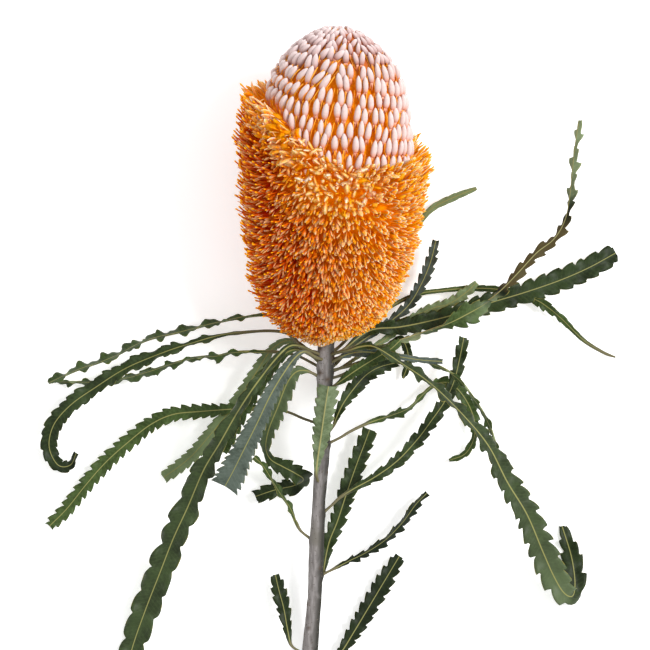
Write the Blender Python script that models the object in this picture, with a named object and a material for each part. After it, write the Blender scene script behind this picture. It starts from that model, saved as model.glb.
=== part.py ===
"""A cut banksia flower, laid on its side: a woody stem, a cone-shaped head and 29 saw-toothed leaves.

+Y runs from the cut end of the stem towards the tip of the head, +X is to the right seen from above
and +Z is up. The origin is on the table, in the middle of the flat spot that the head rests on.
Lengths are in millimetres here, and finish() turns them into metres. Routes are written from the
point where the stem meets the head, with z counted from the table, and finish() moves the origin.
"""
import math
import random
from collections import namedtuple

import bmesh
import bpy
import numpy as np
from mathutils import Vector

MM = 0.001
SEAT_GAP = 0.3          # between pieces that touch on the real flower

# Origin, from the point where the stem meets the head
ORIGIN = Vector((3.2, 64.2, 0.0))

# Axis of the stem and head
AXIS_START = Vector((0.4, 0.0, 26.5))
AXIS_DIRECTION = Vector((0.043, 1.0, 0.164)).normalized()
AXIS_UP = (Vector((0, 0, 1)) - AXIS_DIRECTION.z * AXIS_DIRECTION).normalized()
AXIS_RIGHT = AXIS_DIRECTION.cross(AXIS_UP)
AXIS_SLOPE = 0.164      # rise of the axis for each millimetre of y

# Stem
STEM_CUT_Y = -142.0
STEM_TOP_Y = 10.0       # inside the hole in the head
STEM_BEND = ((-142, -7.2), (-122, -6.0), (-102, -4.2), (-82, -3.4), (-62, -2.4), (-46, -1.2), (0, 0.4),
             (12, 0.9))
STEM_RADII = ((-142, 3.35), (-122, 3.2), (-102, 2.8), (-82, 3.0), (-62, 2.6), (-46, 3.0), (-20, 3.1),
              (-4, 3.3), (12, 3.3))
STEM_STEP = 6.0

# Head, as heights along its axis and radii from it
CELLS_AROUND = 36
HOLE_RADIUS = 3.9
HOLE_DEPTH = 11.5
FLORET_ROWS = 26        # even, so that the top row lines up with the buds
REST_ROW = 17           # odd, so that a floret stands exactly under the axis
REST_HEIGHT = 60.0
FLORET_BED = ((3.4, HOLE_RADIUS), (3.8, 7), (6.4, 13), (10.5, 18.4), (17, 22.8), (26, 26), (38, 28.4),
              (54, 30.7), (70, 32.6), (86, 33), (98, 32.2), (108, 30.5))
FLORET_RIM = 7.0        # radius where the first floret row stands
FLORET_LENGTHS = ((0.0, 2.8), (0.1, 4.2), (0.25, 6.2), (0.5, 7.0), (1.0, 7.4))      # by row share
FLORET_LEANS = ((0.0, 0.0), (0.25, 0.05), (0.5, 0.35), (0.8, 0.6), (1.0, 1.1))      # towards the tip
FLORET_SPREAD = (0.85, 1.12)    # shortest and longest, as shares of the length above
FLORET_SEED = 7
EDGE_HEIGHTS = ((-180, 97), (-130, 100), (-90, 101), (-60, 96.5), (-36, 88.5), (-18, 79), (0, 73),
                (36, 71.5), (80, 77), (130, 88), (180, 97))     # top of the open florets, by angle
EDGE_BEHIND = 4         # how narrow the part at the back is where the rows are kept level
FLAT_REACH = 11.0       # degrees either side of straight down
FLAT_ROWS = 2
FLAT_SHARE = 0.72
BUD_ROWS = 16
BUD_BED = ((60, 30.6), (75, 30), (85, 29), (96, 27.4), (106, 24.8), (113, 21.9), (119, 18), (124, 12.6),
           (127.6, 6.6), (128.6, 3))
BUD_TOP_HEIGHT = 129.3
BUD_RELIEF = 2.2
BUD_CROWDING = 0.45     # how much closer the rows stand at the top
BUD_RISE = 0.45         # greatest relief, as a share of a bud's width
BUD_HEEL = 0.55         # from the lower corner of a bud's cell to its middle
BUD_CROWN = 0.5         # from the upper corner to the middle
BUD_CROWN_RISE = 1.1
EDGE_INSET = 2.6        # from the open florets' bed in to the buds
SEAM_CENTRE = 88.0      # height of the seam on the axis
SEAM_GAP = 1.2 * SEAT_GAP       # along the axis, so that the slanting seam keeps its seat gap

# Leaves
TOOTH_PITCH = 8.6
TOOTH_DEPTH = 0.4       # share of the half width
FOLD = math.radians(18)
BLADE_THICKNESS = 0.8
PETIOLE_THICKNESS = 1.2
PETIOLE_WIDTH = 1.8
ELBOW = 1.8             # how far a petiole runs straight out of the stem
WAVE_HEIGHT = 0.7
WAVE_STEP = 2.1         # turn of the wave from one section to the next, in radians
WAVE_LAG = 1.3          # turn of the wave between the midrib and a margin
FULL_BLADE = 2.5        # how much wider than its petiole a blade is where it has its full fold
TURN_EASE = 0.2         # how fast a blade turns to face up, for each millimetre
MATERIALS = {
    "stem_bark": ((0.36, 0.32, 0.28), 0.85),
    "floret_orange": ((0.84, 0.26, 0.03), 0.6),
    "bud_pink": ((0.84, 0.72, 0.70), 0.65),
    "leaf_dark": ((0.045, 0.085, 0.035), 0.5),
    "leaf_green": ((0.10, 0.16, 0.07), 0.55),
    "leaf_grey": ((0.14, 0.19, 0.15), 0.6),
    "leaf_pale": ((0.20, 0.29, 0.18), 0.6),
}

# Each route point is x, y, z, blade width and roll in degrees. Roll lowers the margin on the right of
# the way that the leaf runs, seen from above. Angles round the stem are 0 up and 90 right.
Leaf = namedtuple("Leaf", "stem_y around finish tip_share route")
LEAVES = (
    Leaf(-3.5, -135, "leaf_green", 0.7, (
        (-9, -1, 17, 1.8, 60), (-16, 6, 14.5, 2, 60), (-23, 12, 12.5, 2.2, 65), (-40, 9.6, 11, 4.5, 68),
        (-57, 5.3, 11, 7.5, 65), (-72, 1.6, 10.5, 7, 70), (-86, -5.4, 10.5, 7.5, 64),
        (-100, -10.4, 11, 7, 68), (-111, -15.5, 11.5, 5, 62))),
    Leaf(-5, -108, "leaf_dark", 0.7, (
        (-8, -2, 21.5, 1.8, 40), (-17, 5.2, 17, 1.8, 40), (-38, 4.4, 15.5, 2.4, 40),
        (-54, 0.4, 14, 4.5, 45), (-66, -3.6, 13, 6.5, 38), (-80, -9.5, 12, 7.2, 30),
        (-92, -17, 11, 7.6, 20), (-102, -24, 10, 7.6, 10), (-109, -32, 8, 8, 0),
        (-111, -41, 6, 7.5, 0), (-107.5, -48.4, 4, 6, -10), (-102.4, -48.4, 4, 5, -20),
        (-100, -43.6, 5, 3.5, -30))),
    Leaf(-9.5, -92, "leaf_green", 0.7, (
        (-8, -5.8, 23, 1.8, 0), (-13, -3.8, 23, 1.8, -20), (-20, -2.8, 22, 2, -50),
        (-36, -2.8, 19, 4, -68), (-43, -4.2, 17.5, 7, -60), (-52, -5, 15, 5, -72),
        (-62, -7.6, 12, 6, -66), (-71, -10.6, 9.5, 7.5, -58), (-82, -13.6, 6.5, 6, -64),
        (-95, -14.8, 4.5, 5.5, -68), (-111, -14.6, 3.6, 5.5, -70))),
    Leaf(-32, -100, "leaf_green", 0.75, (
        (-8, -30, 19, 1.8, 0), (-16, -26.6, 16.5, 1.8, 0), (-26, -25.2, 13.5, 2.6, 0),
        (-37, -25.8, 11.5, 5, 8), (-50, -26.8, 10, 7, 12), (-61, -28, 8.5, 7.2, 12),
        (-70, -32, 7, 7.5, 8), (-79, -39, 5.5, 7.8, 5), (-88, -47, 4, 8, 0), (-96, -56, 3, 7.5, 0),
        (-104, -66, 1.4, 7, 0), (-111, -73, 0.6, 6, 0))),
    Leaf(-7, -150, "leaf_pale", 0.85, (
        (-4, -5, 17, 1.8, 0), (-10, 0.5, 13, 2, 0), (-16, 1.5, 11, 3, 0), (-22, -2.5, 9.5, 4.5, 0),
        (-28, -11.5, 8.5, 6, 0), (-35, -22.5, 7, 6.5, 0), (-44, -33.5, 5.5, 6.6, 0),
        (-54, -45, 4, 6.4, 0), (-65, -53.5, 3, 6, 0))),
    Leaf(-4.5, -45, "leaf_dark", 0.8, (
        (-6, -2.2, 31.5, 2, 0), (-10, -0.4, 34.5, 2.2, 0), (-14.5, -0.6, 37, 2.8, 5),
        (-20, -6, 39, 3.6, 10), (-28, -16.4, 38, 4.4, 14), (-35, -27, 35, 6.4, 15), (-42, -39.2, 30, 8, 15),
        (-48.5, -50, 25, 9, 12), (-55, -65, 18, 10, 10), (-61, -78, 13, 10.6, 8),
        (-66.5, -92, 8.5, 11, 6), (-72, -106, 5, 11, 4), (-77, -120, 2, 10, 0), (-80, -131, 0.8, 8.5, 0))),
    Leaf(-7.5, -62, "leaf_green", 0.7, (
        (-6, -4, 30, 2, 0), (-12, -1.8, 31, 2.4, 0), (-18, -5, 31, 5, 0), (-24, -12, 29.5, 7, 0),
        (-30, -20.5, 27, 8, 0), (-35, -29, 23.5, 8, 0), (-38.5, -37, 20, 7, 0), (-41, -43, 18, 5, 0))),
    Leaf(-6, -12, "leaf_grey", 0.95, (
        (-3, -5.6, 32.5, 2, 0), (-8, -2.6, 36.5, 2.2, 0), (-12, -5, 38.5, 3.5, 0), (-17, -12, 39.5, 6.4, 0),
        (-22, -20.5, 39, 7.4, 0), (-27, -31, 37, 8.2, 0), (-32, -41, 34.5, 9, 0),
        (-36.5, -50, 31.5, 10.6, 0), (-40, -56.5, 29, 11, 0))),
    Leaf(-13, -60, "leaf_dark", 0.85, (
        (-6, -10.8, 27, 2, 0), (-11, -10.5, 28, 4.5, 0), (-15, -15, 27.5, 7, 0), (-19, -25, 25, 7.5, 0),
        (-22.5, -34, 21, 6, 15), (-23.6, -41, 18, 4.2, 30), (-21.8, -45.8, 16.5, 4.2, 20),
        (-17, -48.8, 15.5, 6.6, 0), (-12, -51.5, 15, 7, 0), (-8.8, -54, 10.5, 7, 0),
        (-12.4, -56.5, 6, 6.6, 0), (-20, -58.3, 6, 6.6, 0), (-28, -61, 5, 6.2, 0))),
    Leaf(-79, -90, "leaf_green", 0.7, (
        (-9.6, -75.5, 13.5, 1.8, 0), (-11.6, -71.5, 14, 2.4, 50), (-14.5, -65, 15, 4, 60),
        (-18, -60, 17, 4.5, 62), (-21, -55, 18.5, 4.5, 60), (-25, -48.5, 20, 4.5, 50),
        (-28.5, -45, 21, 3.5, 40))),
    Leaf(-125, -80, "leaf_dark", 0.7, (
        (-13.6, -121.6, 6.4, 1.8, 0), (-15, -115, 6.4, 3.6, 0), (-16.6, -106, 6, 6.2, 0),
        (-18.5, -99, 5, 6.2, 0), (-20, -92.5, 4, 4.4, 0))),
    Leaf(-56, -12, "leaf_pale", 0.95, (
        (-3.6, -52.5, 22.5, 2, 0), (-3, -46, 25, 3.5, 0), (-1.8, -38, 27.5, 6.5, 0),
        (-0.8, -31, 29.5, 7.5, 0), (0.2, -24, 31.5, 8, 0), (1.4, -16.5, 33.5, 8, 0))),
    Leaf(-4, 125, "leaf_dark", 0.8, (
        (8, -1.5, 19, 2, 0), (18, 5.8, 16, 4.5, 0), (30, 7.2, 14.5, 7.5, 0), (42, 9.6, 13.5, 8.5, 0),
        (54, 12.8, 13, 9, 0), (66, 16.8, 12, 9.5, 0), (80, 21, 11, 9.5, 0), (94, 25.8, 9.5, 9.5, 0),
        (106, 31, 8, 9, 0), (117, 37, 6, 7.5, 0))),
    Leaf(-6, 80, "leaf_green", 0.6, (
        (8, -4.5, 27, 2, 0), (16, -2, 28, 2.5, 20), (24, 0, 28, 4, 60), (32, 2.6, 27.5, 6, 110),
        (41, 5.6, 26.5, 6.5, 90), (50, 9, 25.5, 7, 40), (57, 12.4, 24.5, 8, 10), (63, 16, 23.5, 7, 60),
        (70, 21.2, 22.5, 6.5, 120), (78, 29.5, 21, 6.5, 160), (85, 37, 19.5, 6.5, 160),
        (92, 42.5, 18, 6.5, 140), (96.5, 50, 16, 6.5, 110), (98.4, 59, 14, 6.5, 100),
        (99.6, 70, 12, 6.5, 105), (100.8, 81, 11, 5.5, 100), (102.4, 90, 10, 4, 95))),
    Leaf(-7, 155, "leaf_grey", 0.7, (
        (5, -5.5, 18, 2, 0), (14, 1, 13, 2.5, 0), (27, 10, 9.5, 4.5, 0), (34, 16.5, 8.5, 5.5, 0),
        (39, 25, 8.5, 5.8, 0), (42.5, 33.5, 8.5, 5.5, 0), (44.6, 42, 9, 4, 0))),
    Leaf(-10.5, 170, "leaf_green", 0.7, (
        (4, -8, 16, 2, 0), (12, 1, 9.5, 2, 0), (24, 13.5, 5.5, 2.2, 0), (36, 20, 4.5, 2.5, 0),
        (48, 22, 4.5, 2.5, 0), (60, 22.8, 4.5, 3, 0), (72, 22, 4.5, 3.4, 0), (84, 18.5, 4, 5, 0),
        (90, 15, 4, 5, 20), (96, 10, 3.5, 3.4, 30), (104, 2, 3, 2.4, 0), (112, -3, 2.5, 2, 0),
        (117, -5, 2.2, 1.8, 0))),
    Leaf(-11.5, 122, "leaf_pale", 0.7, (
        (7, -9, 19, 2, 0), (16, -3, 14, 2.4, 0), (26, 3.5, 9, 3, 0), (36, 11, 7, 3.6, 0),
        (43, 14.6, 7, 4, 0), (50, 16.6, 7.5, 4.2, 0), (56, 20.5, 8.5, 4.2, 0), (61, 25, 9, 3, 0))),
    Leaf(-4, 175, "leaf_pale", 0.7, (
        (2, -3.5, 16, 2, 0), (8, 1.5, 8.5, 2, 0), (17.5, 13, 4, 2.2, 0), (27.5, 29, 3, 2.4, 0),
        (35, 44, 3.6, 2.4, 0), (42, 54, 5, 2.8, 0), (51, 59, 6, 3, 0), (61, 63, 7, 2.4, 0))),
    Leaf(-4, 40, "leaf_dark", 0.6, (
        (5.5, -3, 32, 2, 0), (10, -2, 36, 2.2, 0), (14.5, -0.8, 39, 3, -30), (20, -1, 41, 5.5, -55),
        (30, -7.2, 41.5, 7, -60), (42, -15.5, 39, 7.5, -60), (54, -27, 34.5, 8, -55),
        (65, -40, 29, 9, -40), (73, -55, 23, 10.5, -22), (81, -68, 17.5, 11.4, -10),
        (87.5, -83, 12.5, 12, 0), (92, -93, 9.5, 12, 0), (96, -99.6, 7.6, 10, 0), (99.6, -101, 4.8, 8, 0),
        (100.6, -95, 2, 7, 0), (99.2, -85, 0.8, 6.5, 0), (95.5, -73, 0.8, 4.5, 0))),
    Leaf(-10.5, 88, "leaf_green", 0.6, (
        (8, -9, 25.5, 2, 0), (20, -5.5, 25, 2.4, 40), (32, -5, 23.5, 3.5, 60), (44, -7.8, 21.5, 4, 70),
        (53, -13, 20, 4, 70), (59, -20.4, 19, 4, 75), (63.5, -27, 17.5, 4.5, 60), (67, -34.5, 16, 4.5, 70),
        (70, -45, 14, 3.5, 70))),
    Leaf(-7.5, 50, "leaf_grey", 0.8, (
        (6, -5.2, 30, 2, 0), (12, -3, 31.2, 4.5, 0), (20, -3, 31.2, 5, 10), (30, -4.6, 30.5, 3, 20),
        (39, -6, 29.5, 3, 10), (47, -6.6, 28.5, 3, 0))),
    Leaf(-18, 60, "leaf_green", 0.7, (
        (5, -15.8, 28, 2.2, 0), (10, -11.8, 32, 5, 0), (15, -8.4, 34, 5.5, 0), (21, -4.8, 35, 5.5, 0),
        (26, -1.8, 35, 5, 0), (30, 1.8, 34.5, 3.8, 0))),
    Leaf(-36, 45, "leaf_dark", 0.75, (
        (4, -31, 24, 2.2, 0), (7, -24, 24.5, 5, 5), (11.5, -17.5, 24, 7, 8), (16.5, -12, 22.5, 7.5, 8),
        (22, -8.8, 21, 7, 5), (29, -7, 20, 5, 0))),
    Leaf(-40, 85, "leaf_green", 0.6, (
        (8, -36, 18.5, 1.8, 0), (18, -31, 15.5, 2.4, 30), (27, -28, 12.5, 5, 50), (34, -25, 10, 5.5, 55),
        (39, -20, 8, 3.5, 60), (43.5, -16.2, 6.8, 4.5, 40), (48.5, -15, 6, 6, 10), (53, -17.4, 5.6, 6, 0),
        (57.5, -23.5, 5.2, 5.5, 0), (60.3, -31, 4.8, 5, 10), (60, -38, 4.2, 4, 40),
        (56.5, -44, 3.4, 3.5, 30), (50, -46.5, 2.6, 2.5, 0))),
    Leaf(-68, 75, "leaf_dark", 0.8, (
        (4, -63, 16, 1.8, 0), (11, -58, 15.5, 2.6, 10), (20, -53, 14.5, 5, 15), (29, -46.5, 13.5, 6.2, 15),
        (37, -38, 12.8, 6.5, 12), (43, -30, 12.5, 6.5, 10), (48.5, -22, 12.5, 6, 8), (52, -14, 12.5, 6, 5),
        (54.2, -5, 12.5, 6, 0), (55.8, 3, 12.5, 5, 0))),
    Leaf(-97, 125, "leaf_dark", 0.9, (
        (-0.5, -91, 6.5, 2.2, 0), (1.5, -80, 6, 5.5, 0), (5, -71, 6.2, 7, 0), (8.6, -60, 6.6, 7.6, 0),
        (12.4, -49, 7, 7.6, 0), (16, -39.5, 7.6, 7, 0), (18, -34, 8, 6, 0))),
    Leaf(-93, 80, "leaf_dark", 0.7, (
        (3, -90.5, 11, 1.8, 20), (9, -87, 9.5, 3.5, 45), (16, -83.6, 8.5, 6, 50), (24, -78.4, 7.5, 6.5, 50),
        (31, -71.4, 6.5, 6.5, 50), (36.5, -64, 6, 6, 45), (41, -59.5, 5.5, 4, 40))),
    Leaf(-134, 95, "leaf_dark", 0.75, (
        (0, -130.5, 4.6, 2, 0), (6, -124.5, 4.2, 4, 0), (12, -115, 4, 6.2, 0), (18, -105, 3.8, 6.8, 0),
        (24, -95, 3.6, 6.8, 0), (30, -85, 3.4, 4.5, 0))),
    Leaf(-14, 142, "leaf_dark", 0.5, (
        (7, -12, 16, 2, 0), (16, -7.5, 8.5, 2.2, 0), (25, -1, 5, 3, 0), (30.5, 2.2, 4.2, 3.6, 0),
        (33.2, -2.5, 4, 4, 0), (33.2, -8, 3.6, 3.8, 0), (31.4, -13.5, 3.2, 2.5, 0))),
)


def along(table, value):
    """Reads a table of (position, value) pairs, straight between its points."""
    places, values = zip(*table)
    return float(np.interp(value, places, values))


def curve_through(points, steps):
    """A smooth curve through the points, of any dimension, with some steps to each span."""
    p = [np.array(q, float) for q in points]
    p = [2 * p[0] - p[1], *p, 2 * p[-1] - p[-2]]
    curve = []
    for a, b, c, d in zip(p, p[1:], p[2:], p[3:]):
        for t in np.linspace(0, 1, steps, endpoint=False):
            curve.append(0.5 * (2 * b + (c - a) * t + (2 * a - 5 * b + 4 * c - d) * t ** 2
                                + (3 * b - a - 3 * c + d) * t ** 3))
    curve.append(p[-2])
    return np.array(curve)


def lengths_along(curve):
    """The distance from the curve's start to each of its points."""
    return np.concatenate([[0], np.cumsum(np.linalg.norm(np.diff(curve, axis=0), axis=1))])


def resampled(curve, distances, at):
    """The curve's values at the given distances along it."""
    return np.stack([np.interp(at, distances, column) for column in curve.T], axis=1)


def head_point(angle, height, radius):
    """A point of the head, by its angle round the axis, its height along it and its radius."""
    outward = math.cos(angle) * AXIS_UP + math.sin(angle) * AXIS_RIGHT
    return AXIS_START + height * AXIS_DIRECTION + radius * outward


def stem_point(y):
    """The centre of the stem."""
    return Vector((along(STEM_BEND, y), y, AXIS_START.z + AXIS_SLOPE * y))


def edge_height(angle):
    """The height where the open florets end, at an angle round the head."""
    degrees = (math.degrees(angle) + 180) % 360 - 180
    places = np.array([a for a, _ in EDGE_HEIGHTS])
    heights = np.array([h for _, h in EDGE_HEIGHTS])
    fine = np.arange(-180, 181, 4)
    rough = np.interp(fine, places, heights)
    return float(np.interp(degrees, fine, np.convolve(np.pad(rough, 3, "wrap"), np.ones(7) / 7, "valid")))


class Bed:
    """A turned surface that florets stand on, read by the distance along its profile."""

    def __init__(self, profile):
        self.curve = curve_through(profile, 12)
        self.far = lengths_along(self.curve)

    def height_radius(self, far):
        """The height and radius at a distance along the profile."""
        return [float(np.interp(far, self.far, column)) for column in self.curve.T]

    def far_at_height(self, height):
        """The distance along the profile where it reaches a height."""
        return float(np.interp(height, self.curve[:, 0], self.far))

    def far_at_radius(self, radius):
        """The distance along the first stretch of the profile where it reaches a radius."""
        widening = int(np.argmax(self.curve[:, 1]))
        return float(np.interp(radius, self.curve[:widening, 1], self.far[:widening]))

    def outward(self, far):
        """How much of the surface's normal points up the axis, and how much away from it."""
        low, high = self.height_radius(far - 0.4), self.height_radius(far + 0.4)
        rise, widen = high[0] - low[0], high[1] - low[1]
        size = math.hypot(rise, widen)
        return -widen / size, rise / size


def ring_angle(row, cell):
    """The angle of a cell's corner. Every second row is turned by half a cell."""
    return (cell + 0.5 * (row % 2)) * math.tau / CELLS_AROUND


def add_rings(mesh, rows, place):
    """Rings of corners, from a function of row and angle."""
    return [[mesh.verts.new(place(row, ring_angle(row, cell))) for cell in range(CELLS_AROUND)]
            for row in range(rows + 1)]


def cell_corners(rings, row, cell):
    """The left, lower, right and upper corner of a diamond, which is centred on its row."""
    side = (cell + 1) % CELLS_AROUND
    middle = side if row % 2 else cell
    return rings[row][cell], rings[row - 1][middle], rings[row][side], rings[row + 1][middle]


def close_ring(mesh, ring, centre):
    """A fan from a ring to one point."""
    hub = mesh.verts.new(centre)
    for a, b in zip(ring, ring[1:] + ring[:1]):
        mesh.faces.new((a, b, hub))


def join_rings(mesh, ring, other):
    """A band of triangles between two rings of the same count."""
    for i, corner in enumerate(ring):
        after = (i + 1) % len(ring)
        mesh.faces.new((corner, ring[after], other[i]))
        mesh.faces.new((ring[after], other[after], other[i]))


def end_cells(mesh, rings, row, inner_row):
    """The half cells along the first or the last ring."""
    for cell in range(CELLS_AROUND):
        mesh.faces.new((rings[row][cell], rings[row][(cell + 1) % CELLS_AROUND], rings[inner_row][cell]))


def finish(name, mesh, material, smooth_angle=None):
    """Turns a mesh in millimetres into an object in metres, with its normals out."""
    bmesh.ops.recalc_face_normals(mesh, faces=mesh.faces)
    data = bpy.data.meshes.new(name)
    for vertex in mesh.verts:
        vertex.co = (vertex.co - ORIGIN) * MM
    mesh.to_mesh(data)
    mesh.free()
    data.materials.append(bpy.data.materials[material])
    if smooth_angle:
        data.shade_smooth()
        data.set_sharp_from_angle(angle=math.radians(smooth_angle))
    part = bpy.data.objects.new(name, data)
    bpy.data.collections["banksia_flower"].objects.link(part)
    return part


def make_materials():
    """One material for each colour."""
    for name, (colour, roughness) in MATERIALS.items():
        material = bpy.data.materials.new(name)
        material.use_nodes = True
        shader = material.node_tree.nodes["Principled BSDF"]
        shader.inputs["Base Color"].default_value = (*colour, 1)
        shader.inputs["Roughness"].default_value = roughness
        shader.inputs["Metallic"].default_value = 0
        material.diffuse_color = (*colour, 1)


def build_stem():
    """The woody stem, as a tube whose thickness changes along it."""
    curve = bpy.data.curves.new("stem", "CURVE")
    curve.dimensions = "3D"
    curve.bevel_depth = 1
    curve.bevel_resolution = 3
    curve.use_fill_caps = True
    heights = np.arange(STEM_CUT_Y, STEM_TOP_Y + STEM_STEP / 2, STEM_STEP)
    spline = curve.splines.new("POLY")
    spline.points.add(len(heights) - 1)
    for point, y in zip(spline.points, heights):
        point.co = (*stem_point(y), 1)
        point.radius = along(STEM_RADII, y)
    tube = bpy.data.objects.new("stem_tube", curve)
    bpy.context.scene.collection.objects.link(tube)
    made = bpy.data.meshes.new_from_object(tube.evaluated_get(bpy.context.evaluated_depsgraph_get()))
    mesh = bmesh.new()
    mesh.from_mesh(made)
    bmesh.ops.remove_doubles(mesh, verts=mesh.verts, dist=0.001)
    bpy.data.objects.remove(tube)
    bpy.data.meshes.remove(made)
    finish("stem", mesh, "stem_bark", 40)


def build_open_florets():
    """The open florets: a diamond grid round a core, with a spike raised from each cell."""
    bed = Bed(FLORET_BED)
    first = bed.far_at_radius(FLORET_RIM)
    back_top = first + (bed.far_at_height(REST_HEIGHT) - first) * FLORET_ROWS / REST_ROW
    back_offset = bed.height_radius(back_top)[0] - edge_height(math.pi)

    def far_at(row, angle):
        behind = (0.5 - 0.5 * math.cos(angle)) ** EDGE_BEHIND
        top = bed.far_at_height(edge_height(angle) + behind * back_offset)
        return first + (top - first) * row / FLORET_ROWS

    mesh = bmesh.new()
    rings = add_rings(mesh, FLORET_ROWS,
                      lambda row, angle: head_point(angle, *bed.height_radius(far_at(row, angle))))
    end_cells(mesh, rings, 0, 1)
    end_cells(mesh, rings, FLORET_ROWS, FLORET_ROWS - 1)
    lengths = random.Random(FLORET_SEED)
    for row in range(1, FLORET_ROWS):
        for cell in range(CELLS_AROUND):
            corners = cell_corners(rings, row, cell)
            angle = ring_angle(row, cell + 0.5)
            under = abs(math.degrees(angle) - 180) < FLAT_REACH
            middle = sum((corner.co for corner in corners), Vector()) / 4
            length = along(FLORET_LENGTHS, row / FLORET_ROWS) * lengths.uniform(*FLORET_SPREAD)
            if under and abs(row - REST_ROW) <= FLAT_ROWS:
                add_pressed_floret(mesh, corners, middle)
                continue
            far = far_at(row, angle)
            up, out = bed.outward(far)
            outward = math.cos(angle) * AXIS_UP + math.sin(angle) * AXIS_RIGHT
            lean = along(FLORET_LEANS, row / FLORET_ROWS)
            way = ((up + lean) * AXIS_DIRECTION + out * outward).normalized()
            tip = middle + length * way
            tip.z = max(tip.z, 0)
            point = mesh.verts.new(tip)
            for a, b in zip(corners, corners[1:] + corners[:1]):
                mesh.faces.new((a, b, point))
    angles = [ring_angle(0, cell) for cell in range(CELLS_AROUND)]
    hole = [[mesh.verts.new(head_point(angle, height, HOLE_RADIUS)) for angle in angles]
            for height in (FLORET_BED[0][0], HOLE_DEPTH)]
    join_rings(mesh, rings[0], hole[0])
    join_rings(mesh, hole[0], hole[1])
    close_ring(mesh, hole[1], head_point(0, HOLE_DEPTH, 0))
    close_ring(mesh, rings[-1], head_point(0, SEAM_CENTRE, 0))
    finish("open_florets", mesh, "floret_orange")
    return [bed.height_radius(far_at(FLORET_ROWS, angle)) for angle in angles]


def add_pressed_floret(mesh, corners, middle):
    """A floret under the head's weight: a blunt peg that ends flat on the table."""
    foot = []
    for corner in corners:
        spot = middle + FLAT_SHARE * (corner.co - middle)
        foot.append(mesh.verts.new((spot.x, spot.y, 0)))
    for i in range(4):
        after = (i + 1) % 4
        mesh.faces.new((corners[i], corners[after], foot[i]))
        mesh.faces.new((corners[after], foot[after], foot[i]))
    mesh.faces.new(foot)


def build_buds(edge):
    """The dome of unopened buds. Its underside follows the top of the open florets, a seat gap above it."""
    bed = Bed(BUD_BED)
    start = []
    for height, radius in edge:
        ring_radius = radius - EDGE_INSET
        on_seam = SEAM_CENTRE + (height - SEAM_CENTRE) * ring_radius / radius
        start.append((on_seam + SEAM_GAP, ring_radius))
    angles = [math.tau * cell / CELLS_AROUND for cell in range(CELLS_AROUND + 1)]
    end = bed.far[-1]

    def place(row, angle):
        low = float(np.interp(angle % math.tau, angles, [s[0] for s in start + start[:1]]))
        if row == 0:
            return head_point(angle, *start[round(angle / math.tau * CELLS_AROUND)])
        share = row / BUD_ROWS
        first = bed.far_at_height(low)
        far = first + (end - first) * share * (1 + BUD_CROWDING * (1 - share))
        return head_point(angle, *bed.height_radius(far))

    mesh = bmesh.new()
    rings = add_rings(mesh, BUD_ROWS, place)
    end_cells(mesh, rings, 0, 1)
    end_cells(mesh, rings, BUD_ROWS, BUD_ROWS - 1)
    for row in range(1, BUD_ROWS):
        for cell in range(CELLS_AROUND):
            left, low, right, high = cell_corners(rings, row, cell)
            width = (left.co - right.co).length
            middle = (left.co + low.co + right.co + high.co) / 4
            outward = (right.co - left.co).cross(high.co - low.co).normalized()
            if outward.dot(middle - head_point(0, SEAM_CENTRE, 0)) < 0:
                outward.negate()
            relief = min(BUD_RELIEF, BUD_RISE * width) * outward
            heel = mesh.verts.new(low.co.lerp(middle, BUD_HEEL) + relief)
            crown = mesh.verts.new(high.co.lerp(middle, BUD_CROWN) + BUD_CROWN_RISE * relief)
            for face in ((left, low, heel), (left, heel, crown), (left, crown, high),
                         (right, heel, low), (right, crown, heel), (right, high, crown)):
                mesh.faces.new(face)
    close_ring(mesh, rings[0], head_point(0, SEAM_CENTRE + SEAM_GAP, 0))
    close_ring(mesh, rings[-1], head_point(0, BUD_TOP_HEIGHT, 0))
    finish("bud_florets", mesh, "bud_pink")


def leaf_frames(leaf):
    """Evenly spaced stations of a leaf: place, direction, normal, width, roll and share of its length."""
    angle = math.radians(leaf.around)
    outward = math.cos(angle) * AXIS_UP + math.sin(angle) * AXIS_RIGHT
    root = stem_point(leaf.stem_y) + (along(STEM_RADII, leaf.stem_y) + SEAT_GAP) * outward
    elbow = root + ELBOW * outward
    route = [(*root, PETIOLE_WIDTH, 0), (*elbow, PETIOLE_WIDTH, 0), *leaf.route]
    curve = curve_through(route, 16)
    far = lengths_along(curve[:, :3])
    fine = resampled(curve, far, np.arange(0, far[-1], 1.0))
    ways = np.gradient(fine[:, :3], axis=0)
    ways[0] = outward
    normal, sign, normals = Vector((0, 1, 0)), 1, []
    for way in ways:
        way = Vector(way).normalized()
        normal = (normal - normal.dot(way) * way).normalized()
        up = Vector((0, 0, 1)) - way.z * way
        if up.length > 0.4:
            facing = normal.dot(up.normalized())
            if abs(facing) > 0.5:
                sign = 1 if facing > 0 else -1
            normal = normal.lerp(sign * up.normalized(), TURN_EASE).normalized()
        normals.append(normal.copy())
    count = 2 * math.ceil(far[-1] / TOOTH_PITCH)
    for i in range(count + 1):
        at = min(i / count * (len(fine) - 1), len(fine) - 1.001)
        low = int(at)
        mix = at - low
        row = fine[low] * (1 - mix) + fine[low + 1] * mix
        way = Vector(ways[low] * (1 - mix) + ways[low + 1] * mix).normalized()
        up = normals[low].lerp(normals[low + 1], mix)
        up = (up - up.dot(way) * way).normalized()
        yield Vector(row[:3]), way, up, float(row[3]), math.radians(row[4]), i / count


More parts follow.
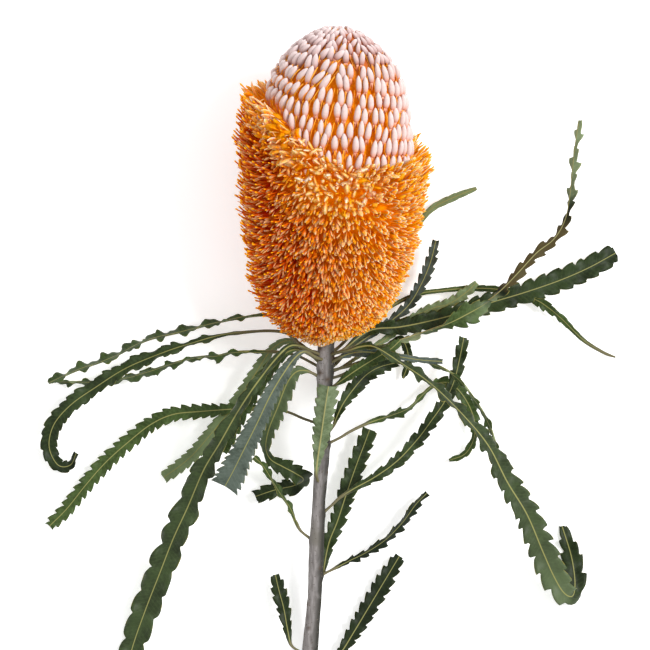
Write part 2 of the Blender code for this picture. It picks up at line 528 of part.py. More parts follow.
def build_leaf(name, leaf):
    """A leaf blade, lofted along its midrib: folded, waved and toothed, alike on both faces."""
    mesh = bmesh.new()
    sections = []
    for i, (place, way, up, width, roll, share) in enumerate(leaf_frames(leaf)):
        side = way.cross(up)
        face = math.cos(roll) * up + math.sin(roll) * side
        right = way.cross(face)
        blade = min(max((width - PETIOLE_WIDTH) / FULL_BLADE, 0), 1)
        if share == 1:
            width *= leaf.tip_share
        thickness = BLADE_THICKNESS + (PETIOLE_THICKNESS - BLADE_THICKNESS) * (1 - blade)
        corners = []
        for direction in (-1, 0, 1):
            tooth = i % 2 == (direction > 0)
            half = width / 2 * (1 if tooth else 1 - TOOTH_DEPTH * blade) * abs(direction)
            wave = WAVE_HEIGHT * blade * math.sin(WAVE_STEP * i + WAVE_LAG * direction)
            fold = FOLD * blade
            spot = place + half * (direction * math.cos(fold) * right + math.sin(fold) * face)
            corners.append(spot + abs(direction) * wave * face)
        sections.append([[mesh.verts.new(corner + 0.5 * s * thickness * face) for corner in corners]
                         for s in (1, -1)])
    for before, after in zip(sections, sections[1:]):
        for level in (0, 1):
            for k in (0, 1):
                mesh.faces.new((before[level][k], before[level][k + 1], after[level][k]))
                mesh.faces.new((before[level][k + 1], after[level][k + 1], after[level][k]))
        for k in (0, 2):
            mesh.faces.new((before[0][k], after[0][k], before[1][k]))
            mesh.faces.new((after[0][k], after[1][k], before[1][k]))
    for upper, lower in (sections[0], sections[-1]):
        for k in (0, 1):
            mesh.faces.new((upper[k], upper[k + 1], lower[k]))
            mesh.faces.new((upper[k + 1], lower[k + 1], lower[k]))
    finish(name, mesh, leaf.finish, 50)


def main():
    """Clears the scene and builds the whole flower."""
    for old in list(bpy.data.objects):
        bpy.data.objects.remove(old)
    bpy.context.scene.collection.children.link(bpy.data.collections.new("banksia_flower"))
    make_materials()
    build_stem()
    edge = build_open_florets()
    build_buds(edge)
    for number, leaf in enumerate(LEAVES, 1):
        build_leaf(f"leaf_{number:02d}", leaf)


main()
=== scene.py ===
import math
from collections import namedtuple

import bpy
import numpy as np
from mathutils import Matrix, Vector


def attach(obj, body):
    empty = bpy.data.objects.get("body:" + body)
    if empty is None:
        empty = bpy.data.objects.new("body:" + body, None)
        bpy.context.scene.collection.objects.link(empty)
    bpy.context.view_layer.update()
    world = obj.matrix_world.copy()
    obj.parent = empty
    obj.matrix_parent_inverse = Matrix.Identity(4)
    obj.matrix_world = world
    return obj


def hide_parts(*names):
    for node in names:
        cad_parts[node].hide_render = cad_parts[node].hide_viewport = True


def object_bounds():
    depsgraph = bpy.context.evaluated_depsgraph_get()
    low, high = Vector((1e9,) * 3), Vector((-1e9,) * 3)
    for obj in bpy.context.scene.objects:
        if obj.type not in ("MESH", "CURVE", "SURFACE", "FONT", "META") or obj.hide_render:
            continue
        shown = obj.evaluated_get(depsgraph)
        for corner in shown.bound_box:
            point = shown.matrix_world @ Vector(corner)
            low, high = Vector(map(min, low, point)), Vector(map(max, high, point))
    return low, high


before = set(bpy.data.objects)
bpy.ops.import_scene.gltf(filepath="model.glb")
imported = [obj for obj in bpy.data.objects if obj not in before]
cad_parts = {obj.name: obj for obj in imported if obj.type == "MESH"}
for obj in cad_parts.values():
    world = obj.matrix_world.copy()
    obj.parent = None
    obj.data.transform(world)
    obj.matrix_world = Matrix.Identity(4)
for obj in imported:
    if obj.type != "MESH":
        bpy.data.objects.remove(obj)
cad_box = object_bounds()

ORIGIN = np.array([3.2, 64.2, 0.0])
METRES = 0.001
VIEW_CENTRE = (0.0, 8.0)        # of the photograph
VIEW_WIDTH = 260.0
VIEW_HEIGHT = 30.0              # height above the table where the view has that width
CAMERA_DISTANCE = 4000.0

# Axis of the stem and head
UP = np.array([0.0, 0.0, 1.0])
AXIS_START = np.array([0.4, 0.0, 26.5])
AXIS_SLOPE = 0.164
AXIS = np.array([0.043, 1.0, AXIS_SLOPE])
AXIS = AXIS / np.linalg.norm(AXIS)
AXIS_UP = UP - AXIS[2] * AXIS
AXIS_UP = AXIS_UP / np.linalg.norm(AXIS_UP)
AXIS_RIGHT = np.cross(AXIS, AXIS_UP)

STEM_CUT_Y = -142.0
STEM_TOP_Y = 10.4               # inside the head
STEM_STEP = 0.8
STEM_SIDES = 40
STEM_BEND = ((-142, -7.2), (-122, -6.0), (-102, -4.2), (-82, -3.4), (-62, -2.4), (-46, -1.2), (0, 0.4), (12, 0.9))
STEM_RADII = ((-142, 3.35), (-122, 3.2), (-102, 2.8), (-82, 3.0), (-62, 2.6), (-46, 3.0), (-20, 3.1),
              (-4, 3.3), (12, 3.3))
# Scars that fallen leaves left: y, degrees round the stem (0 up, 90 right), size
STEM_SCARS = ((-1.2, -42, 1.5), (-4.6, 60, 1.6), (-10.8, -35, 1.4), (-13.2, 20, 1.2), (2.4, 75, 1.5),
              (-104, -60, 1.0), (-113.5, -25, 0.9), (-89, 35, 0.8), (-36, 160, 1.5), (-72, 200, 1.4),
              (-118, 150, 1.5), (-51, 60, 0.8), (-97, 215, 1.2))

# Head, as heights along its axis and radii from it
FLORET_BED = ((3.4, 3.9), (3.8, 7), (6.4, 13), (10.5, 18.4), (17, 22.8), (26, 26), (38, 28.4),
              (54, 30.7), (70, 32.6), (86, 33), (98, 32.2), (108, 30.5))
EDGE_HEIGHTS = ((-180, 94), (-130, 97.5), (-90, 97.5), (-60, 96.5), (-36, 88.5), (-18, 79), (0, 73),
                (36, 71.5), (80, 73.8), (105, 76), (135, 82), (180, 94))     # top of the open florets, by angle
BUD_BED = ((60, 30.6), (75, 30), (85, 29), (96, 27.4), (106, 24.8), (113, 21.9), (119, 18), (124, 12.6),
           (127.6, 6.6), (128.5, 3), (128.8, 0.4))

# Each route point is x, y, z, blade width and, where it isn't 0, roll in degrees. Roll lowers the margin on
# the right of the way that the leaf runs, seen from above. Angles round the stem are 0 up and 90 right.
Leaf = namedtuple("Leaf", "stem_y around finish tip_share route")
LEAVES = (
    Leaf(-3.5, -135, "leaf_green", 0.7, (
        (-9, -1, 17, 1.8, 60), (-16, 6, 14.5, 2, 60), (-23, 12, 12.5, 2.2, 65), (-40, 9.6, 11, 4.5, 68),
        (-57, 5.3, 11, 7.5, 65), (-72, 1.6, 10.5, 7, 70), (-86, -5.4, 10.5, 7.5, 64), (-100, -10.4, 11, 7, 68),
        (-111, -15.5, 11.5, 5, 62))),
    Leaf(-5, -108, "leaf_dark", 0.7, (
        (-8, -2, 21.5, 1.8, 40), (-17, 5.2, 17, 1.8, 40), (-38, 4.4, 15.5, 2.4, 40), (-54, 0.4, 14, 4.5, 45),
        (-66, -3.6, 13, 6.5, 38), (-80, -9.5, 12, 7.2, 30), (-92, -17, 11, 7.6, 20), (-102, -24, 10, 7.6, 10),
        (-109, -32, 8, 8), (-111, -41, 6, 7.5), (-107.5, -48.4, 4, 6, -10), (-102.4, -48.4, 4, 5, -20),
        (-100, -43.6, 5, 3.5, -30))),
    Leaf(-9.5, -92, "leaf_green", 0.7, (
        (-8, -5.8, 23, 1.8), (-13, -3.8, 23, 1.8, -20), (-20, -2.8, 22, 2, -50), (-36, -2.8, 19, 4, -68),
        (-43, -4.2, 17.5, 7, -60), (-52, -5, 15, 5, -72), (-62, -7.6, 12, 6, -66), (-71, -10.6, 9.5, 7.5, -58),
        (-82, -13.6, 6.5, 6, -64), (-95, -14.8, 4.5, 5.5, -68), (-111, -14.6, 3.6, 5.5, -70))),
    Leaf(-32, -100, "leaf_green", 0.75, (
        (-8, -30, 19, 1.8), (-16, -26.6, 16.5, 1.8), (-26, -25.2, 13.5, 2.6), (-37, -25.8, 11.5, 5, 8),
        (-50, -26.8, 10, 7, 12), (-61, -28, 8.5, 7.2, 12), (-70, -32, 7, 7.5, 8), (-79, -39, 5.5, 7.8, 5),
        (-88, -47, 4, 8), (-96, -56, 3, 7.5), (-104, -66, 1.4, 7), (-111, -73, 0.6, 6))),
    Leaf(-7, -150, "leaf_pale", 0.85, (
        (-4, -5, 17, 1.8), (-10, 0.5, 13, 2), (-16, 1.5, 11, 3), (-22, -2.5, 9.5, 4.5), (-28, -11.5, 8.5, 6),
        (-35, -22.5, 7, 6.5), (-44, -33.5, 5.5, 6.6), (-54, -45, 4, 6.4), (-65, -53.5, 3, 6))),
    Leaf(-4.5, -45, "leaf_dark", 0.8, (
        (-6, -2.2, 31.5, 2), (-10, -0.4, 34.5, 2.2), (-14.5, -0.6, 37, 2.8, 5), (-20, -6, 39, 3.6, 10),
        (-28, -16.4, 38, 4.4, 14), (-35, -27, 35, 6.4, 15), (-42, -39.2, 30, 8, 15), (-48.5, -50, 25, 9, 12),
        (-55, -65, 18, 10, 10), (-61, -78, 13, 10.6, 8), (-66.5, -92, 8.5, 11, 6), (-72, -106, 5, 11, 4),
        (-77, -120, 2, 10), (-80, -131, 0.8, 8.5))),
    Leaf(-7.5, -62, "leaf_green", 0.7, (
        (-6, -4, 30, 2), (-12, -1.8, 31, 2.4), (-18, -5, 31, 5), (-24, -12, 29.5, 7), (-30, -20.5, 27, 8),
        (-35, -29, 23.5, 8), (-38.5, -37, 20, 7), (-41, -43, 18, 5))),
    Leaf(-6, -12, "leaf_grey", 0.95, (
        (-3, -5.6, 32.5, 2), (-8, -2.6, 36.5, 2.2), (-12, -5, 38.5, 3.5), (-17, -12, 39.5, 6.4),
        (-22, -20.5, 39, 7.4), (-27, -31, 37, 8.2), (-32, -41, 34.5, 9), (-36.5, -50, 31.5, 10.6),
        (-40, -56.5, 29, 11))),
    Leaf(-13, -60, "leaf_dark", 0.85, (
        (-6, -10.8, 27, 2), (-11, -10.5, 28, 4.5), (-15, -15, 27.5, 7), (-19, -25, 25, 7.5),
        (-22.5, -34, 21, 6, 15), (-23.6, -41, 18, 4.2, 30), (-21.8, -45.8, 16.5, 4.2, 20), (-17, -48.8, 15.5, 6.6),
        (-12, -51.5, 15, 7), (-8.8, -54, 10.5, 7), (-12.4, -56.5, 6, 6.6), (-20, -58.3, 6, 6.6), (-28, -61, 5, 6.2))),
    Leaf(-79, -90, "leaf_green", 0.7, (
        (-9.6, -75.5, 13.5, 1.8), (-11.6, -71.5, 14, 2.4, 50), (-14.5, -65, 15, 4, 60), (-18, -60, 17, 4.5, 62),
        (-21, -55, 18.5, 4.5, 60), (-25, -48.5, 20, 4.5, 50), (-28.5, -45, 21, 3.5, 40))),
    Leaf(-125, -80, "leaf_dark", 0.7, (
        (-13.6, -121.6, 6.4, 1.8), (-15, -115, 6.4, 3.6), (-16.6, -106, 6, 6.2), (-18.5, -99, 5, 6.2),
        (-20, -92.5, 4, 4.4))),
    Leaf(-56, -12, "leaf_pale", 0.95, (
        (-3.6, -52.5, 22.5, 2), (-3, -46, 25, 3.5), (-1.8, -38, 27.5, 6.5), (-0.8, -31, 29.5, 7.5),
        (0.2, -24, 31.5, 8), (1.4, -16.5, 33.5, 8))),
    Leaf(-4, 125, "leaf_dark", 0.8, (
        (8, -1.5, 19, 2), (18, 5.8, 16, 4.5), (30, 7.2, 14.5, 7.5), (42, 9.6, 13.5, 8.5), (54, 12.8, 13, 9),
        (66, 16.8, 12, 9.5), (80, 21, 11, 9.5), (94, 25.8, 9.5, 9.5), (106, 31, 8, 9), (117, 37, 6, 7.5))),
    Leaf(-6, 80, "leaf_green", 0.6, (
        (8, -4.5, 27, 2), (16, -2, 28, 2.5, 20), (24, 0, 28, 4, 60), (32, 2.6, 27.5, 6, 110),
        (41, 5.6, 26.5, 6.5, 90), (50, 9, 25.5, 7, 40), (57, 12.4, 24.5, 8, 10), (63, 16, 23.5, 7, 60),
        (70, 21.2, 22.5, 6.5, 120), (78, 29.5, 21, 6.5, 160), (85, 37, 19.5, 6.5, 160), (92, 42.5, 18, 6.5, 140),
        (96.5, 50, 16, 6.5, 118), (98.4, 59, 14, 6.5, 116), (99.6, 70, 12, 6.5, 120), (100.8, 81, 11, 5.5, 118),
        (102.4, 90, 10, 4, 112))),
    Leaf(-7, 155, "leaf_grey", 0.7, (
        (5, -5.5, 18, 2), (14, 1, 13, 2.5), (27, 10, 9.5, 4.5), (34, 16.5, 8.5, 5.5), (39, 25, 8.5, 5.8),
        (42.5, 33.5, 8.5, 5.5), (44.6, 42, 9, 4))),
    Leaf(-10.5, 170, "leaf_green", 0.7, (
        (4, -8, 16, 2), (12, 1, 9.5, 2), (24, 13.5, 5.5, 2.2), (36, 20, 4.5, 2.5), (48, 22, 4.5, 2.5),
        (60, 22.8, 4.5, 3), (72, 22, 4.5, 3.4), (84, 18.5, 4, 5), (90, 15, 4, 5, 20), (96, 10, 3.5, 3.4, 30),
        (104, 2, 3, 2.4), (112, -3, 2.5, 2), (117, -5, 2.2, 1.8))),
    Leaf(-11.5, 122, "leaf_pale", 0.7, (
        (7, -9, 19, 2), (16, -3, 14, 2.4), (26, 3.5, 9, 3), (36, 11, 7, 3.6), (43, 14.6, 7, 4),
        (50, 16.6, 7.5, 4.2), (56, 20.5, 8.5, 4.2), (61, 25, 9, 3))),
    Leaf(-4, 175, "leaf_pale", 0.7, (
        (2, -3.5, 16, 2), (8, 1.5, 8.5, 2), (17.5, 13, 4, 2.2), (27.5, 29, 3, 2.4), (35, 44, 3.6, 2.4),
        (42, 54, 5, 2.8), (51, 59, 6, 3), (61, 63, 7, 2.4))),
    Leaf(-4, 40, "leaf_dark", 0.6, (
        (5.5, -3, 32, 2), (10, -2, 36, 2.2), (14.5, -0.8, 39, 3, -30), (20, -1, 41, 5.5, -55),
        (30, -7.2, 41.5, 7, -60), (42, -15.5, 39, 7.5, -60), (54, -27, 34.5, 8, -55), (65, -40, 29, 9, -40),
        (73, -55, 23, 10.5, -22), (81, -68, 17.5, 11.4, -10), (87.5, -83, 12.5, 12), (92, -93, 9.5, 12),
        (96, -99.6, 7.6, 10), (99.6, -101, 4.8, 8), (100.6, -95, 2, 7), (99.2, -85, 0.8, 6.5), (95.5, -73, 0.8, 4.5))),
    Leaf(-10.5, 88, "leaf_green", 0.6, (
        (8, -9, 25.5, 2), (20, -5.5, 25, 2.4, 40), (32, -5, 23.5, 3.5, 60), (44, -7.8, 21.5, 4, 70),
        (53, -13, 20, 4, 70), (59, -20.4, 19, 4, 75), (63.5, -27, 17.5, 4.5, 60), (67, -34.5, 16, 4.5, 70),
        (70, -45, 14, 3.5, 70))),
    Leaf(-7.5, 50, "leaf_grey", 0.8, (
        (6, -5.2, 30, 2), (12, -3, 31.2, 4.5), (20, -3, 31.2, 5, 10), (30, -4.6, 30.5, 3, 20),
        (39, -6, 29.5, 3, 10), (47, -6.6, 28.5, 3))),
    Leaf(-18, 60, "leaf_green", 0.7, (
        (5, -15.8, 28, 2.2), (10, -11.8, 32, 5), (15, -8.4, 34, 5.5), (21, -4.8, 35, 5.5), (26, -1.8, 35, 5),
        (30, 1.8, 34.5, 3.8))),
    Leaf(-36, 45, "leaf_dark", 0.75, (
        (4, -31, 24, 2.2), (7, -24, 24.5, 5, 5), (11.5, -17.5, 24, 7, 8), (16.5, -12, 22.5, 7.5, 8),
        (22, -8.8, 21, 7, 5), (29, -7, 20, 5))),
    Leaf(-40, 85, "leaf_green", 0.6, (
        (8, -36, 18.5, 1.8), (18, -31, 15.5, 2.4, 30), (27, -28, 12.5, 5, 50), (34, -25, 10, 5.5, 55),
        (39, -20, 8, 3.5, 60), (43.5, -16.2, 6.8, 4.5, 40), (48.5, -15, 6, 6, 10), (53, -17.4, 5.6, 6),
        (57.5, -23.5, 5.2, 5.5), (60.3, -31, 4.8, 5, 10), (60, -38, 4.2, 4, 40), (56.5, -44, 3.4, 3.5, 30),
        (50, -46.5, 2.6, 2.5))),
    Leaf(-68, 75, "leaf_dark", 0.8, (
        (4, -63, 16, 1.8), (11, -58, 15.5, 2.6, 10), (20, -53, 14.5, 5, 15), (29, -46.5, 13.5, 6.2, 15),
        (37, -38, 12.8, 6.5, 12), (43, -30, 12.5, 6.5, 10), (48.5, -22, 12.5, 6, 8), (52, -14, 12.5, 6, 5),
        (54.2, -5, 12.5, 6), (55.8, 3, 12.5, 5))),
    Leaf(-97, 125, "leaf_dark", 0.9, (
        (-0.5, -91, 6.5, 2.2), (1.5, -80, 6, 5.5), (5, -71, 6.2, 7), (8.6, -60, 6.6, 7.6), (12.4, -49, 7, 7.6),
        (16, -39.5, 7.6, 7), (18, -34, 8, 6))),
    Leaf(-93, 80, "leaf_dark", 0.7, (
        (3, -90.5, 11, 1.8, 20), (9, -87, 9.5, 3.5, 45), (16, -83.6, 8.5, 6, 50), (24, -78.4, 7.5, 6.5, 50),
        (31, -71.4, 6.5, 6.5, 50), (36.5, -64, 6, 6, 45), (41, -59.5, 5.5, 4, 40))),
    Leaf(-134, 95, "leaf_dark", 0.75, (
        (0, -130.5, 4.6, 2), (6, -124.5, 4.2, 4), (12, -115, 4, 6.2), (18, -105, 3.8, 6.8), (24, -95, 3.6, 6.8),
        (30, -85, 3.4, 4.5))),
    Leaf(-14, 142, "leaf_dark", 0.5, (
        (7, -12, 16, 2), (16, -7.5, 8.5, 2.2), (25, -1, 5, 3), (30.5, 2.2, 4.2, 3.6), (33.2, -2.5, 4, 4),
        (33.2, -8, 3.6, 3.8), (31.4, -13.5, 3.2, 2.5))),
)


def along(table, value):
    """Reads a table of (position, value) pairs, straight between its points."""
    places, values = zip(*table)
    return np.interp(value, places, values)


def curve_through(points, steps):
    """A smooth curve through the points, of any dimension, with some steps to each span."""
    p = [np.array(q, float) for q in points]
    p = [2 * p[0] - p[1], *p, 2 * p[-1] - p[-2]]
    curve = []
    for a, b, c, d in zip(p, p[1:], p[2:], p[3:]):
        for t in np.linspace(0, 1, steps, endpoint=False):
            curve.append(0.5 * (2 * b + (c - a) * t + (2 * a - 5 * b + 4 * c - d) * t ** 2
                                + (3 * b - a - 3 * c + d) * t ** 3))
    return np.array([*curve, p[-2]])


def lengths_along(curve):
    """The distance from the curve's start to each of its points."""
    return np.concatenate([[0], np.cumsum(np.linalg.norm(np.diff(curve, axis=0), axis=1))])


def resampled(curve, distances, at):
    """The curve's values at the given distances along it."""
    return np.stack([np.interp(at, distances, column) for column in curve.T], axis=-1)


def unit(vectors):
    """The vectors, each scaled to length 1."""
    return vectors / np.maximum(np.linalg.norm(vectors, axis=-1, keepdims=True), 1e-9)


def by(sizes, vectors):
    """The vectors, each multiplied by its own size."""
    return np.asarray(sizes)[..., None] * vectors


def smooth(value, low, high):
    """0 below low, 1 above high, and eased between."""
    t = np.clip((value - low) / (high - low), 0, 1)
    return t * t * (3 - 2 * t)


def outward(angle):
    """The direction away from the head's axis, at an angle round it."""
    return by(np.cos(angle), AXIS_UP) + by(np.sin(angle), AXIS_RIGHT)


def head_point(angle, height, radius):
    """Points of the head, by angle round the axis, height along it and radius."""
    return AXIS_START + by(height, AXIS) + by(radius, outward(angle))


def stem_point(y):
    """The centre of the stem, at one y or at many."""
    return np.stack([along(STEM_BEND, y), y, AXIS_START[2] + AXIS_SLOPE * y], axis=-1)


def around(sides):
    """The angles of a ring's corners."""
    return np.linspace(0, math.tau, sides, endpoint=False)


def half_turns(angle):
    """An angle in degrees from -180 to 180."""
    return (np.degrees(angle) + 180) % 360 - 180


EDGE_FINE = np.arange(-180, 181, 4)
EDGE_SMOOTH = np.convolve(np.pad(along(EDGE_HEIGHTS, EDGE_FINE), 3, "wrap"), np.ones(7) / 7, "valid")


def edge_height(angle):
    """The height where the open florets end, at an angle round the head."""
    return np.interp(half_turns(angle), EDGE_FINE, EDGE_SMOOTH)


class Bed:
    """A turned surface, read by the distance along its profile."""

    def __init__(self, profile):
        self.curve = curve_through(profile, 12)
        self.far = lengths_along(self.curve)

    def height_radius(self, far):
        """The height and radius at a distance along the profile."""
        return [np.interp(far, self.far, column) for column in self.curve.T]

    def far_at(self, height):
        """The distance along the profile where it reaches a height."""
        return np.interp(height, self.curve[:, 0], self.far)

    def radius_at(self, height):
        """The radius at a height."""
        return self.height_radius(self.far_at(height))[1]

    def directions(self, angle, far):
        """The directions up along the surface and straight out of it."""
        low, high = self.height_radius(far - 0.4), self.height_radius(far + 0.4)
        rise, widen = high[0] - low[0], high[1] - low[1]
        size = np.hypot(rise, widen)
        rise, widen, away = rise / size, widen / size, outward(angle)
        return by(rise, AXIS) + by(widen, away), by(rise, away) - by(widen, AXIS)


def add_piece(name, points, faces, materials, replaces, fields, indices=None):
    """Makes a mesh of points in millimetres, which rides on the root. fields are numbers or vectors by point."""
    data = bpy.data.meshes.new(name)
    data.from_pydata(np.clip((points - ORIGIN) * METRES, *cad_box).tolist(), [], faces)
    for field, values in fields.items():
        values = np.asarray(values, np.float32)
        kind, key = ("FLOAT", "value") if values.ndim == 1 else ("FLOAT_VECTOR", "vector")
        data.attributes.new(field, kind, "POINT").data.foreach_set(key, values.ravel())
    for material in materials:
        data.materials.append(material)
    if indices is not None:
        data.polygons.foreach_set("material_index", np.asarray(indices, np.int32))
    data.shade_smooth()
    data.update()
    piece = bpy.data.objects.new(name, data)
    bpy.context.scene.collection.objects.link(piece)
    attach(piece, "root")
    if replaces:
        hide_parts(*replaces)


def tube_faces(rings, corners, caps=True):
    """The faces of a tube whose points are listed ring by ring."""
    faces = []
    for a in range(0, (rings - 1) * corners, corners):
        for c in range(corners):
            n = (c + 1) % corners
            faces.append((a + c, a + n, a + corners + n, a + corners + c))
    if caps:
        faces.append(tuple(reversed(range(corners))))
        faces.append(tuple(range((rings - 1) * corners, rings * corners)))
    return faces


def many_tubes(centres, across, outer, widths, depths, section):
    """Closed tubes with one section shape: their points, and the faces of them all.

    centres is (count, rings, 3), across and outer are (count, rings or 1, 3), widths and depths (count or 1,
    rings or 1), and section (corners, 2).
    """
    count, rings, _ = centres.shape
    points = (centres[:, :, None] + by(by(widths, section[:, 0]), across[:, :, None])
              + by(by(depths, section[:, 1]), outer[:, :, None])).reshape(-1, 3)
    size = rings * len(section)
    one = tube_faces(rings, len(section))
    return points, [tuple(i + start for i in face) for start in range(0, count * size, size) for face in one]


def stored(rings, corners, second, third, times=1):
    """For each point of many tubes: how far along it is, and two values of its tube."""
    shape = (len(second), len(rings))
    columns = [np.repeat(np.broadcast_to(v, shape).reshape(-1), corners)
               for v in (rings, second[:, None], third[:, None])]
    return np.tile(np.stack(columns, 1), (times, 1))


def add_tubes(name, parts, material, slot, node, **fields):
    """Makes one piece of several sets of tubes, which stay above the table."""
    points, faces, first = [], [], 0
    for some, corners in parts:
        faces += [tuple(i + first for i in face) for face in corners]
        points.append(some)
        first += len(some)
    points = np.concatenate(points)
    points[:, 2] = np.maximum(points[:, 2], TUBE_GAP)
    add_piece(name, points, faces, [material], [node], fields)


def screen(red, green, blue):
    """A colour given as it shows on a screen, 0 to 255, as the shader needs it."""
    scaled = [c / 255 for c in (red, green, blue)]
    return tuple(c / 12.92 if c < 0.04 else ((c + 0.055) / 1.055) ** 2.4 for c in scaled) + (1.0,)


class Paint:
    """One node material. Its colours are given as they show on a screen, 0 to 255."""

    def __init__(self, name, roughness, **settings):
        self.material = bpy.data.materials.new(name)
        self.material.use_nodes = True
        self.tree = self.material.node_tree
        self.shader = self.tree.nodes["Principled BSDF"]
        self.shader.inputs["Roughness"].default_value = roughness
        for key, value in settings.items():
            self.shader.inputs[key.replace("_", " ")].default_value = value

    def node(self, kind, inputs=(), **settings):
        """A node with its settings, and its inputs by number: sockets are linked, and values set."""
        node = self.tree.nodes.new(kind)
        for key, value in settings.items():
            setattr(node, key, value)
        for index, value in inputs:
            if isinstance(value, bpy.types.NodeSocket):
                self.tree.links.new(value, node.inputs[index])
            else:
                node.inputs[index].default_value = value
        return node

    def field(self, name):
        """A number stored on the mesh."""
        return self.node("ShaderNodeAttribute", attribute_name=name).outputs["Fac"]

    def fields(self, name):
        """The three numbers of a vector stored on the mesh."""
        vector = self.node("ShaderNodeAttribute", attribute_name=name).outputs["Vector"]
        return self.node("ShaderNodeSeparateXYZ", [(0, vector)]).outputs

    def noise(self, size, detail=2.0, stretch=None):
        """Noise from 0 to 1 with blotches of a size in millimetres."""
        where = self.node("ShaderNodeTexCoord").outputs["Object"]
        if stretch:
            where = self.node("ShaderNodeMapping", [(0, where), (3, stretch)]).outputs[0]
        return self.node("ShaderNodeTexNoise", [("Vector", where), ("Scale", 1 / (size * METRES)),
                                                ("Detail", detail)]).outputs[0]

    def math(self, operation, a, b=0.0):
        """One sum."""
        return self.node("ShaderNodeMath", [(0, a), (1, b)], operation=operation).outputs[0]

    def times(self, a, b):
        """The product."""
        return self.math("MULTIPLY", a, b)

    def ease(self, value, low, high):
        """0 at low and 1 at high, clamped. low may be above high."""
        return self.node("ShaderNodeMapRange", [(0, value), (1, low), (2, high)],
                         interpolation_type="SMOOTHSTEP").outputs[0]

    def mix(self, share, a, b):
        """A colour between a and b."""
        a, b = [c if isinstance(c, bpy.types.NodeSocket) else screen(*c) for c in (a, b)]
        return self.node("ShaderNodeMix", [(0, share), (6, a), (7, b)], data_type="RGBA").outputs[2]

    def ramp(self, value, *stops):
        """A colour from a row of (place, red, green, blue)."""
        node = self.node("ShaderNodeValToRGB", [(0, value)])
        elements = node.color_ramp.elements
        while len(elements) < len(stops):
            elements.new(1.0)
        for element, (place, *colour) in zip(elements, stops):
            element.position = place
            element.color = screen(*colour)
        return node.outputs[0]

    def done(self, colour, height, strength, distance, painted_glow_colour=None):
        """Sets the colour, a bump of a height from 0 to 1, distance millimetres deep, and the painted glow given off.
        """
        self.tree.links.new(colour, self.shader.inputs["Base Color"])
        if painted_glow_colour is not None:
            self.tree.links.new(painted_glow_colour, self.shader.inputs["Emission Color"])
        bump = self.node("ShaderNodeBump", [("Strength", strength), ("Distance", distance * METRES),
                                            ("Height", height)])
        self.tree.links.new(bump.outputs[0], self.shader.inputs["Normal"])
        return self.material


LEAF_COLOURS = {        # shadowed patches, body, side veins
    "leaf_dark": ((26, 36, 14), (46, 60, 30), (68, 80, 46)),
    "leaf_green": ((42, 56, 22), (64, 82, 40), (88, 102, 58)),
    "leaf_grey": ((54, 64, 56), (80, 90, 82), (104, 112, 102)),
    "leaf_pale": ((64, 76, 40), (88, 102, 60), (112, 124, 84)),
}
UNDER_COLOURS = ((84, 98, 66), (116, 130, 98), (140, 150, 116))
SHADES = ((0.0, 1.0, (14, 24, 8)), (0.0, -1.0, (126, 142, 104)), (1.0, 2.0, (74, 65, 38)))     # dark, light, brown
RIB_COLOUR = (134, 132, 78)
UNDER_RIB_COLOUR = (150, 146, 96)
MARGIN_COLOUR = (150, 138, 60)
PETIOLE_COLOUR = (104, 98, 72)
PAINTED_GLOW = 0.21     # strength of the painted glow: emission that stands in for light through the florets' flesh


def leaf_paint(name, colours, rib, roughness):
    """Leaf skin: blotches, slanting side veins, a pale midrib and a yellowed margin."""
    paint = Paint(name, roughness, Specular_IOR_Level=0.15)
    far, off, edge = paint.fields("leaf")
    dark, body, vein = colours
    blotches = paint.math("ADD", paint.times(paint.noise(9.0, 3.0), 0.6), paint.times(paint.noise(1.4, 3.0), 0.4))
    colour = paint.mix(paint.ease(blotches, 0.36, 0.62), dark, body)
    slant = paint.math("ADD", paint.math("SUBTRACT", far, paint.times(paint.math("ABSOLUTE", off), 0.55)),
                       paint.times(paint.noise(2.5), 0.9))
    lines = paint.ease(paint.math("SINE", paint.times(slant, 3.6)), 0.72, 0.98)
    colour = paint.mix(paint.times(lines, 0.2), colour, vein)
    shade = paint.field("shade")
    for start, full, other in SHADES:
        colour = paint.mix(paint.ease(shade, start, full), colour, other)
    worn = paint.times(paint.ease(paint.noise(3.0, 4.0), 0.42, 0.6), 0.8)
    colour = paint.mix(paint.times(paint.ease(edge, 0.9, 1.0), worn), colour, MARGIN_COLOUR)
    colour = paint.mix(paint.ease(paint.field("rib"), 1.2, 0.6), colour, rib)
    colour = paint.mix(paint.field("petiole"), colour, PETIOLE_COLOUR)
    height = paint.math("SUBTRACT", paint.times(paint.noise(0.6, 3.0), 0.6), paint.times(lines, 0.35))
    return paint.done(colour, height, 0.5, 0.15)


def painted_glow(paint, far, gold_and_painted_light):
    """A painted glow deep in the head: emitted colour that stands in for light coming through the flesh."""
    return paint.mix(paint.ease(far, 0.5, 0.85), paint.mix(gold_and_painted_light, (70, 2, 0), (255, 150, 0)),
                     paint.mix(gold_and_painted_light, (20, 2, 0), (80, 34, 0)))


